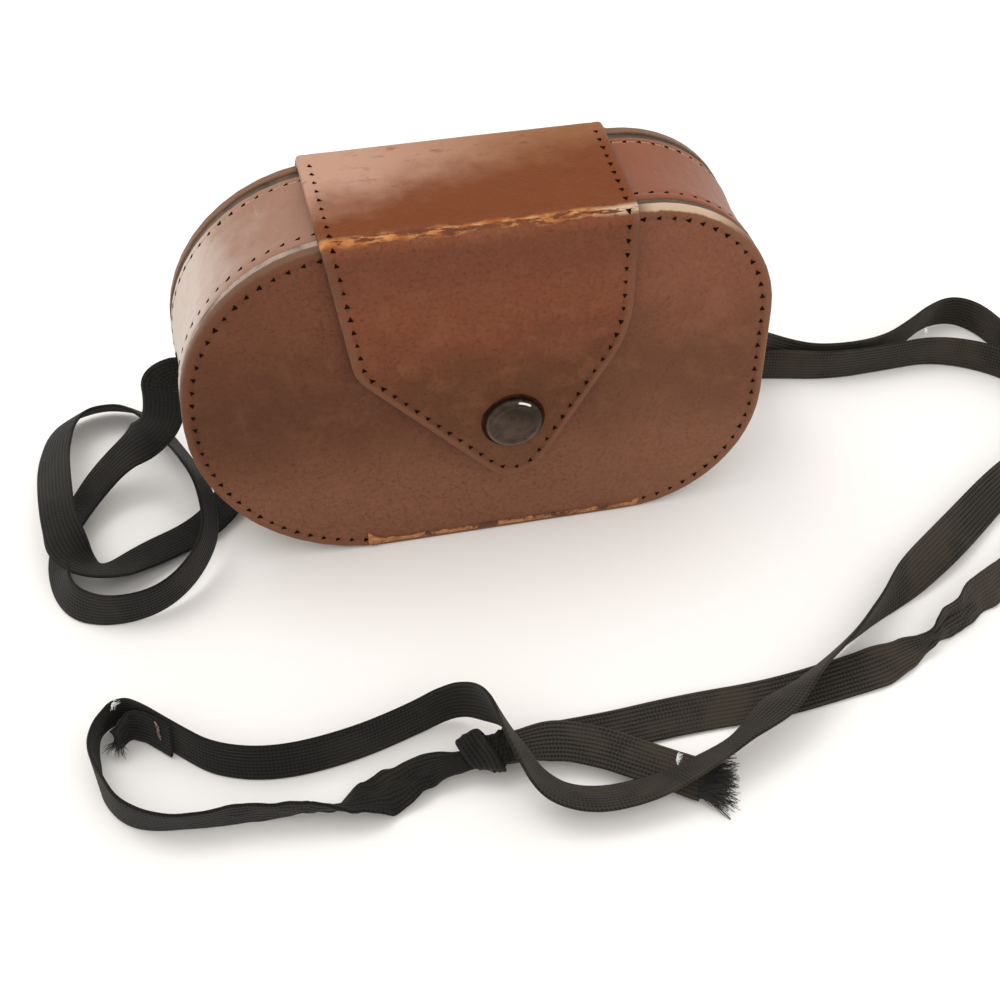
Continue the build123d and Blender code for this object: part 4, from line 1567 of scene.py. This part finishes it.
    def build(self) -> None:
        """Make and dress the case's own pieces."""
        hide = CowhideFinish("glazed_cowhide_face").material(extra=self.panel_tones)
        suede = SuedeFinish("suede_lining").material()
        front = self.front_face()
        front.data.materials.append(hide)
        front.data.materials.append(suede)
        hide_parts("front_panel")
        # The front board edge's pale colour, strongest to the left, is a painted sheen.
        pale = CutEdgeFinish("board_edge_front", "#A99589", "#664D3E").material()
        dark = CutEdgeFinish("board_edge_rear", "#3A2A1F", "#5E4634", right="#3A2A1F").material()
        for name, is_front, finish, node in (("front_board_edge", True, pale, "front_board"),
                                             ("rear_board_edge", False, dark, "rear_board")):
            board = self.board_piece(name, is_front)
            board.data.materials.append(finish)
            board.data.materials.append(suede)
            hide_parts(node)
            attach(board, "case_body")
        # The left band's pale pink low down is a painted sheen.
        left_calf = GussetFinish("glazed_calf_left_painted_sheen", "#8E6652", "#BEAEA3", 63.0, 80.0).material()
        right_calf = GussetFinish("glazed_calf_right", "#80462A", "#66351E", 30.0, 66.0).material()
        for is_left, finish in ((True, left_calf), (False, right_calf)):
            band = self.side_band(is_left)
            band.data.materials.append(finish)
            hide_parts("gusset_left" if is_left else "gusset_right")
            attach(band, "case_body")
        fold = self.bottom_fold()
        fold.data.materials.append(RawFoldFinish().material())
        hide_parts("bottom_strip")
        shadow = ShadowFinish("painted_slit_shadow", "#22170F", "#140D09").material()
        for slit in self.slit_shadows():
            slit.data.materials.append(shadow)
            slit.data.materials.append(shadow)
            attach(slit, "case_body")
        tape = bpy.data.materials.get("black_braided_tape")
        turn_in = ((59.4, 5.0), (57.0, 5.0), (55.2, 4.2), (54.8, 1.5), (54.8, -3.2))
        for name, sign, node in (("strap_tab_left", -1, "strap_end_left"),
                                 ("strap_tab_right", 1, "strap_end_right")):
            stops = [(sign * x, y, self.slit[2], 0) for x, y in turn_in]
            tab = Tape(name, stops).build()[0]
            tab.data.materials.append(tape)
            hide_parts(node)
            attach(tab, "case_body")
        for piece in (front, fold):
            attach(piece, "case_body")
        for node in ("gusset_lining_left", "gusset_lining_right", "bottom_lining"):
            dress_node(node, suede)


def dress_node(name: str, finish: bpy.types.Material) -> None:
    """Give a carried-over CAD node its finish.

    Args:
        name: the node's name.
        finish: the material it gets.
    """
    node = bpy.data.objects[name]
    if not node.data.materials:
        node.data.materials.append(finish)
    for i in range(len(node.data.materials)):
        node.data.materials[i] = finish


@dataclass
class FlapWrap:
    """Rear panel and flap, one hide bent over the top: laid out flat and folded at two soft bends."""

    shape: CaseShape
    thickness: float = 2.2
    rear_bend: float = 2.7
    front_bend: float = 3.5
    rear_top_z: float = 74.3
    top_z: float = 77.0
    front_centre_y: float = -14.75
    shoulder_left: Point2 = (-25.1, 46.3)
    shoulder_right: Point2 = (28.5, 49.3)
    tip: Point2 = (6.75, 12.5)
    root_left: float = -30.0
    root_right: float = 30.2
    root_gap: float = 30.3
    root_z: float = 70.0
    split: float = 2.0
    seam_inset: float = 2.0
    rim: tuple = ((0.14, 0.26), (0.28, 0.20), (0.42, 0.08), (0.78, 0.0), (0.22, -0.06), (0.26, -0.03),
                  (0.24, 0.05), (0.8, 0.03), (2.2, 0.0))

    @property
    def v_bend(self) -> float:
        """Where the rear bend ends."""
        return self.rear_top_z + self.rear_bend * math.pi / 2

    @property
    def v_crease(self) -> float:
        """Where the front bend starts."""
        return self.v_bend + (self.shape.face_y - self.rear_bend) - self.front_centre_y

    @property
    def v_front(self) -> float:
        """Where the front bend ends and the flap hangs."""
        return self.v_crease + self.front_bend * math.pi / 2

    def place(self, x: float, v: float, w: float) -> Vector:
        """Flat hide (x, v, height above its outer face) to its place on the case.

        Args:
            x: across the case.
            v: the flat length up the rear and over the top.
            w: the height above the outer face.

        Returns:
            The place, in mm.
        """
        rear_y = self.shape.face_y - self.rear_bend
        if v <= self.rear_top_z:
            return Vector((x, self.shape.face_y + w, v))
        if v <= self.v_bend:
            a, r = (v - self.rear_top_z) / self.rear_bend, self.rear_bend + w
            return Vector((x, rear_y + r * math.cos(a), self.rear_top_z + r * math.sin(a)))
        if v <= self.v_crease:
            return Vector((x, rear_y - (v - self.v_bend), self.top_z + w))
        if v <= self.v_front:
            a, r = (v - self.v_crease) / self.front_bend, self.front_bend + w
            return Vector((x, self.front_centre_y - r * math.sin(a),
                           self.top_z - self.front_bend + r * math.cos(a)))
        return Vector((x, self.front_centre_y - self.front_bend - w,
                       self.top_z - self.front_bend - (v - self.v_front)))

    def down(self, z: float) -> float:
        """The flat length at a height of the hanging part."""
        return self.v_front + self.top_z - self.front_bend - z

    def flap_border(self, inset: float = 0.0) -> list[Point2]:
        """The flap's free edge: up its right side, round the tip and down its left side.

        Args:
            inset: how far inside the edge the line runs.

        Returns:
            The points, in mm.
        """
        left, right, tip = self.shoulder_left, self.shoulder_right, self.tip
        hidden, waist = self.root_z - 4.0, self.v_crease + 2.7
        whole = rounded([(self.root_left, hidden, 0.5), (self.root_right, hidden, 0.5), (28.7, waist, 60.0),
                         (right[0], self.down(right[1]), 27.0), (tip[0], self.down(tip[1]), 7.4),
                         (left[0], self.down(left[1]), 9.5), (-29.4, waist, 60.0)], 1.2)
        ways = tangents_of(whole, True)
        moved = [(p[0] - t.y * inset, p[1] + t.x * inset) for p, t in zip(whole, ways)]
        keep = [p for p in moved if p[1] > self.rear_top_z + 1.0]
        start = max(range(len(keep)), key=lambda i: (Vector(keep[i]) - Vector(keep[i - 1])).length)
        return keep[start:] + keep[:start]

    def at_root(self, x: float, z: float) -> bool:
        """True where the panel's outline gives way to the flap."""
        return self.root_left < x < self.root_gap and z > self.root_z

    def border(self) -> list[Point2]:
        """The whole hide's cut edge, counter-clockwise.

        Returns:
            The points, in mm.
        """
        panel = self.shape.outline()
        free = [not self.at_root(*p) for p in panel]
        first = next(i for i in range(len(panel)) if free[i] and not free[i - 1])
        turned = panel[first:] + panel[:first]
        return [p for p in turned if not self.at_root(*p)] + self.flap_border()

    def hide(self) -> bpy.types.Object:
        """The flat hide, cut to its outline and sliced so that it can bend.

        Returns:
            The new piece.
        """
        border = self.border()
        piece = cut_sheet("hide", border, self.rim, self.thickness)
        slice_sheet(piece, 0, [x * 3.0 for x in range(-19, 20)])
        bends = [self.rear_top_z + k * (self.v_bend - self.rear_top_z) / 8 for k in range(9)]
        crease = [self.v_crease + k * (self.v_front - self.v_crease) / 12 for k in range(13)]
        plain = [3.0 * k for k in range(1, 25)] + [self.v_bend + 3.0 * k for k in range(1, 9)]
        hang = [self.v_front + 3.0 * k for k in range(1, 20)]
        slice_sheet(piece, 1, plain + bends + crease + hang)
        flat_uv(piece)
        edge_distance(piece, border)
        rims = [d.value for d in piece.data.attributes["rim"].data]
        for vertex, edge in zip(piece.data.vertices, rims):
            x, v, _ = vertex.co
            fade = min(1.0, max(0.0, (edge - 3.0) / 9.0))
            lift = 0.20 * noise.noise(Vector((x / 17, v / 15, 6.2))) * fade
            on_crease = math.exp(-((v - (self.v_crease + self.v_front) / 2) / 2.2) ** 2)
            lift += 0.10 * on_crease * noise.noise(Vector((x / 2.2, v / 1.1, 2.0)))
            if vertex.co.z > -1.2:
                vertex.co.z += lift
        return piece

    def halves(self) -> tuple[bpy.types.Object, bpy.types.Object]:
        """The rear panel with the first bend, and the flap proper, parted on the flat top.

        Returns:
            The rear piece and the front piece.
        """
        rear = self.hide()
        front = rear.copy()
        front.data = rear.data.copy()
        bpy.context.scene.collection.objects.link(front)
        part_at = self.v_bend + self.split
        for piece, name, upper in ((rear, "rear_panel_hide", True), (front, "flap_hide", False)):
            named(piece, name)
            enter_edit(piece)
            bpy.ops.mesh.select_all(action="SELECT")
            bpy.ops.mesh.bisect(plane_co=(0, part_at, 0), plane_no=(0, 1, 0), use_fill=True,
                                clear_outer=upper, clear_inner=not upper)
            leave_edit()
            lay_out(piece, self.place)
            face_outwards(piece)
            soften(piece, 50)
        return rear, front

    def marks(self, s: Surface, colour: Socket) -> Socket:
        """The flap's colour: a painted grey-pink sheen on top that turns orange-brown toward the crease, and
        torn glaze on it.

        Args:
            s: the hide's material.
            colour: its colour so far.

        Returns:
            The marked colour.
        """
        v, x = s.add(Step.Y, s.mm), s.add(Step.X, s.mm)
        wobble = s.sway(7.0, 4.0, 0.6, 14.0)
        top = s.add(Step.TIMES, s.add(Step.RANGE, v, self.rear_top_z, self.v_bend),
                    s.under(v, self.v_crease - 1.0, self.v_crease + 2.5))
        # Painted reflection: the top's rear carries a grey-pink sheen, paler to the left, that fades toward
        # the crease.
        rear = s.tint("#B48C77", "#8E5E3C", s.add(Step.RANGE, x, -26.0, 22.0))
        reach = s.share(s.add(Step.PLUS, v, wobble), x, 0.26)
        sheen = s.tint(rear, "#6E3405", s.add(Step.RANGE, reach, self.v_bend + 1, self.v_bend + 19))
        colour = s.tint(colour, sheen, top, 0.94)
        scuff = s.add(Step.NOISE, s.add(Step.STRETCH, s.mm, (0.5, 1.0, 1.0)), 1 / 2.6, 5.0, 0.7)
        scuffed = s.add(Step.TIMES, top, s.add(Step.RANGE, scuff, 0.56, 0.70))
        colour = s.tint(colour, "#4A2815", scuffed, 0.45)
        below = s.add(Step.TIMES, s.add(Step.RANGE, v, self.v_front - 2.0, self.v_front + 1.0),
                      s.under(v, self.v_front + 3.0, self.v_front + 14.0))
        colour = s.tint(colour, "#4E2F20", below, 0.30)
        centre = (self.v_crease + self.v_front) / 2 - 0.6
        off = s.add(Step.SIZE, s.add(Step.MINUS, s.share(v, wobble, 0.10), centre))
        on_crease = s.under(off, 0.25, 1.5)
        corners = s.add(Step.RANGE, s.add(Step.SIZE, s.add(Step.MINUS, x, -1.0)), 20.0, 28.5)
        streak = s.add(Step.NOISE, s.add(Step.STRETCH, s.mm, (0.22, 1.0, 1.0)), 1 / 1.1, 5.0, 0.7)
        torn = s.add(Step.TIMES, on_crease, s.add(Step.RANGE, s.share(streak, corners, 0.10), 0.47, 0.56))
        colour = s.tint(colour, "#4A2616", on_crease, 0.45)
        tan = s.fleck("#A35A26", "#C48C55", 1.0, 4.0, 3.0, 0.55, 0.40, 0.62)
        tan = s.tint(tan, "#C9AD92", s.add(Step.RANGE, x, 18.0, 26.0))
        return s.tint(colour, tan, torn, 0.92)

    def level(self, s: Surface) -> Socket:
        """Height up the case from the flat length, on the rear panel and on the hanging part."""
        v = s.add(Step.Y, s.mm)
        return s.add(Step.LEAST, v, s.add(Step.MINUS, self.down(0.0), v))

    def build(self) -> None:
        """Make and dress the hide."""
        rear, front = self.halves()
        hide = CowhideFinish("glazed_cowhide_flap", "#7A432B", "#5B351F", "#66422E", "#6F4731",
                             space=Space.FLAT, gloss=0.14).material(self.level, self.marks)
        suede = bpy.data.materials.get("suede_lining")
        for piece in (rear, front):
            piece.data.materials.append(hide)
            piece.data.materials.append(suede)
        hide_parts("rear_panel")
        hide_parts("flap_top", "flap_top_lining", "flap_front", "flap_front_lining")
        self.place(0, self.rear_top_z - 0.4, 0) * MM
        self.place(0, self.v_bend + 0.4, 0) * MM
        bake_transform(rear)
        self.crease_start()
        self.crease_end()
        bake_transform(front)

    def crease_start(self) -> Vector:
        """Where the flap starts to turn at its crease, in metres."""
        return self.place(0, self.v_crease - 1.2, 0) * MM

    def crease_end(self) -> Vector:
        """Where the flap has turned at its crease, in metres."""
        return self.place(0, self.v_front + 1.2, 0) * MM


@dataclass
class Seams:
    """Rows of awl holes with waxed thread sunk between them, modelled once and copied along each row."""

    case: CaseBox
    wrap: FlapWrap
    pitch: float = 3.0

    def hole_model(self) -> bpy.types.Object:
        """One three-cornered awl hole, in mm: a dark wedge of painted shadow that stands just proud of its
        groove.

        Returns:
            The model, to be copied along the rows.
        """
        deselect_all()
        bpy.ops.mesh.primitive_cone_add(vertices=3, radius1=0.68, radius2=0.54, depth=0.16)
        piece = bpy.context.object
        enter_edit(piece)
        bpy.ops.mesh.select_all(action="SELECT")
        bpy.ops.transform.resize(value=(1.10, 0.92, 1.0))
        bpy.ops.mesh.bevel(offset=0.05, segments=1, affect="EDGES")
        leave_edit()
        return piece

    def thread_model(self, length: float = 1.9) -> bpy.types.Object:
        """One thread's visible run, in mm: a thin rounded bar, fatter in the middle.

        Args:
            length: its length.

        Returns:
            The model, to be copied along the rows.
        """
        deselect_all()
        bpy.ops.mesh.primitive_cylinder_add(vertices=8, radius=0.19, depth=length,
                                            rotation=(0, math.pi / 2, 0))
        piece = bpy.context.object
        bpy.ops.object.transform_apply(location=False, rotation=True, scale=False)
        enter_edit(piece)
        bpy.ops.mesh.select_all(action="SELECT")
        bpy.ops.mesh.bevel(offset=0.09, segments=2, affect="EDGES")
        leave_edit()
        for vertex in piece.data.vertices:
            vertex.co.z -= 0.10 * (abs(vertex.co.x) / (length / 2)) ** 2
        soften(piece, 60)
        return piece

    def row(self, name: str, spots: Sequence[tuple[Vector, Vector, Vector]], holes: bpy.types.Material,
            thread: bpy.types.Material, length: float = 1.9, sunk: float = 0.24) -> list[bpy.types.Object]:
        """Holes and threads along one row.

        Args:
            name: the row's name.
            spots: (place, direction, outward normal) of each hole, in mm.
            holes: the holes' finish.
            thread: the thread's finish.
            length: a thread's visible length in mm.
            sunk: how far the thread lies in.

        Returns:
            The two pieces.
        """
        rng = random.Random(len(spots))
        at_holes, at_threads = [], []
        for place, way, out in spots:
            turned = Matrix.Rotation(math.radians(rng.uniform(18, 38)), 3, out) @ way
            size = Matrix.Scale(rng.uniform(0.85, 1.15), 4)
            at_holes.append(frame_matrix(place, turned, out) @ size)
        for (a, way, out), (b, _, out_b) in zip(spots, spots[1:]):
            if (b - a).length < self.pitch * 1.4:
                normal = (out + out_b).normalized()
                at_threads.append(frame_matrix((a + b) / 2 - normal * sunk, b - a, normal))
        made = [scatter_copies(name + "_holes", self.hole_model(), at_holes),
                scatter_copies(name + "_thread", self.thread_model(length), at_threads)]
        for piece, finish in zip(made, (holes, thread)):
            piece.data.materials.append(finish)
        return made

    def face_spots(self, front: bool) -> list[tuple[Vector, Vector, Vector]]:
        """The row round one face.

        Args:
            front: True for the front face.

        Returns:
            The place, direction and outward normal of each hole, in mm.
        """
        ring = self.case.shape.outline(self.case.seam_inset, self.pitch)
        ways = tangents_of(ring, True)
        y = self.case.shape.face_y
        out = Vector((0, -1 if front else 1, 0))
        spots = []
        for (x, z), way in zip(ring, ways):
            if not self.case.shape.on_fold(x, z, 1.0):
                spots.append((Vector((x, out.y * (y + 0.03), z)), Vector((way.x, 0, way.y)), out))
        first = next(i for i in range(len(spots)) if (spots[i][0] - spots[i - 1][0]).length > 6)
        return spots[first:] + spots[:first]

    def edge_spots(self, front: bool) -> list[tuple[Vector, Vector, Vector]]:
        """The row along one edge of the gusset.

        Args:
            front: True for the edge beside the front face.

        Returns:
            The place, direction and outward normal of each hole, in mm.
        """
        ring = walk(self.case.shape.outline(0.0, 0.8), self.pitch)
        ways = tangents_of(ring, True)
        spots = []
        for (x, z), way in zip(ring, ways):
            if self.case.shape.on_mouth(x, z, 2.0) or self.case.shape.on_fold(x, z, 1.5):
                continue
            out = Vector((way.y, 0, -way.x))
            place = Vector((x, -self.case.seam_y if front else self.case.seam_y, z)) - out * 0.10
            spots.append((place, Vector((way.x, 0, way.y)), out))
        return spots

    def flap_spots(self) -> list[tuple[Vector, Vector, Vector]]:
        """The row round the flap's free edge, over its crease.

        Returns:
            The place, direction and outward normal of each hole, in mm.
        """
        line = walk(self.wrap.flap_border(self.wrap.seam_inset), self.pitch, closed=False)
        ways = tangents_of(line, False)
        past_split = self.wrap.v_bend + 2.6
        spots = []
        for (x, v), way in zip(line, ways):
            if v < past_split:
                continue
            here = self.wrap.place(x, v, 0.03)
            ahead = self.wrap.place(x + way.x * 0.5, v + way.y * 0.5, 0.03)
            out = (self.wrap.place(x, v, 1.0) - self.wrap.place(x, v, 0.0)).normalized()
            spots.append((here, (ahead - here).normalized(), out))
        return spots

    def build(self) -> None:
        """Make and place every row."""
        holes = ShadowFinish("awl_hole_shadow", "#1C0F09", "#0D0704").material()
        brown = ThreadFinish("waxed_brown_thread", "#563726", "#3E271B").material()
        gold = ThreadFinish("golden_linen_thread", "#C9A877", "#94703F").material()
        for name, spots, thread, node, length in (
                ("front_seam", self.face_spots(True), brown, "front_panel_stitches", 1.9),
                ("rear_seam", self.face_spots(False), brown, "rear_panel_stitches", 1.9),
                ("gusset_front_seam", self.edge_spots(True), brown, "gusset_front_stitches", 1.9),
                ("gusset_rear_seam", self.edge_spots(False), gold, "gusset_rear_stitches", 2.3)):
            made = self.row(name, spots, holes, thread, length, 0.04 if thread is gold else 0.24)
            for piece in made:
                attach(piece, "case_body")
            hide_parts(node)
        made = self.row("flap_seam", self.flap_spots(), holes, brown)
        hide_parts("flap_front_stitches", "flap_top_stitches")
        for piece in made:
            self.wrap.crease_start()
            self.wrap.crease_end()
            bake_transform(piece)
        log.info("seams have %d holes on the front face", len(self.face_spots(True)))


@dataclass
class PressStud:
    """The press stud: a domed cap with a rolled rim on the flap, its hidden parts in dull brass."""

    centre: Point2 = (5.2, 31.7)
    radius: float = 5.75
    cap_face_y: float = -19.85
    height: float = 1.6
    leather_y: float = -18.36
    ring_width: float = 0.65

    def ring(self, radius: float, count: int = 72) -> list[Point2]:
        """A circle's points."""
        return [(radius * math.cos(2 * math.pi * k / count), radius * math.sin(2 * math.pi * k / count))
                for k in range(count)]

    def place(self, piece: bpy.types.Object, y: float) -> None:
        """Stand a flat disc up in front of the flap, its face at a depth in mm."""
        lay_out(piece, lambda x, v, w: Vector((self.centre[0] + x, y - w, self.centre[1] + v)))
        soften(piece, 60)

    def cap(self) -> bpy.types.Object:
        """The cap, pressed from sheet: rolled rim, a shallow step and a low dome.

        Returns:
            The new piece.
        """
        profile = ((0.10, 0.34), (0.18, 0.26), (0.30, 0.20), (0.42, 0.10), (0.40, -0.02), (0.28, -0.10),
                   (0.30, -0.02), (0.8, 0.05), (1.2, 0.04), (1.2, 0.02))
        piece = cut_sheet("stud_cap_domed", self.ring(self.radius), profile, self.height)
        self.place(piece, self.cap_face_y + 0.04)
        return piece

    def cap_shadow_ring(self) -> bpy.types.Object:
        """A dark ring of painted shadow on the leather round the cap.

        Returns:
            The new piece.
        """
        piece = cut_sheet("stud_painted_shadow_ring", self.ring(self.radius + self.ring_width),
                          ((0.25, 0.05), (0.3, 0.03)), 0.3)
        self.place(piece, self.leather_y)
        return piece

    def build(self) -> None:
        """Make and dress the stud."""
        nickel = AgedNickelFinish("aged_nickel_cap").material()
        brass = BrassFinish().material()
        cap, cap_shadow_ring = self.cap(), self.cap_shadow_ring()
        shadow = ShadowFinish("painted_stud_shadow_ring", "#3A2217", "#24140D").material()
        for piece, finish in ((cap, nickel), (cap_shadow_ring, shadow)):
            piece.data.materials.append(finish)
            piece.data.materials.append(finish)
            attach(piece, "flap_front_part")
        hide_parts("stud_cap")
        dress_node("stud_socket", nickel)
        for node in ("stud_spring", "stud_post", "stud_rivet"):
            dress_node(node, brass)


# ---------------------------------------------------------------- run

def main() -> None:
    """Build the object in order."""
    logging.basicConfig(level=logging.INFO, format="%(message)s")
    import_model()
    Studio().build()
    NeckStrap().build()
    shape = CaseShape()
    case, wrap = CaseBox(shape), FlapWrap(shape)
    for name, assembly in (("case", case), ("flap", wrap), ("seams", Seams(case, wrap)),
                           ("stud", PressStud())):
        assembly.build()
        log.info("%s built", name)


if __name__ == "__main__":
    main()
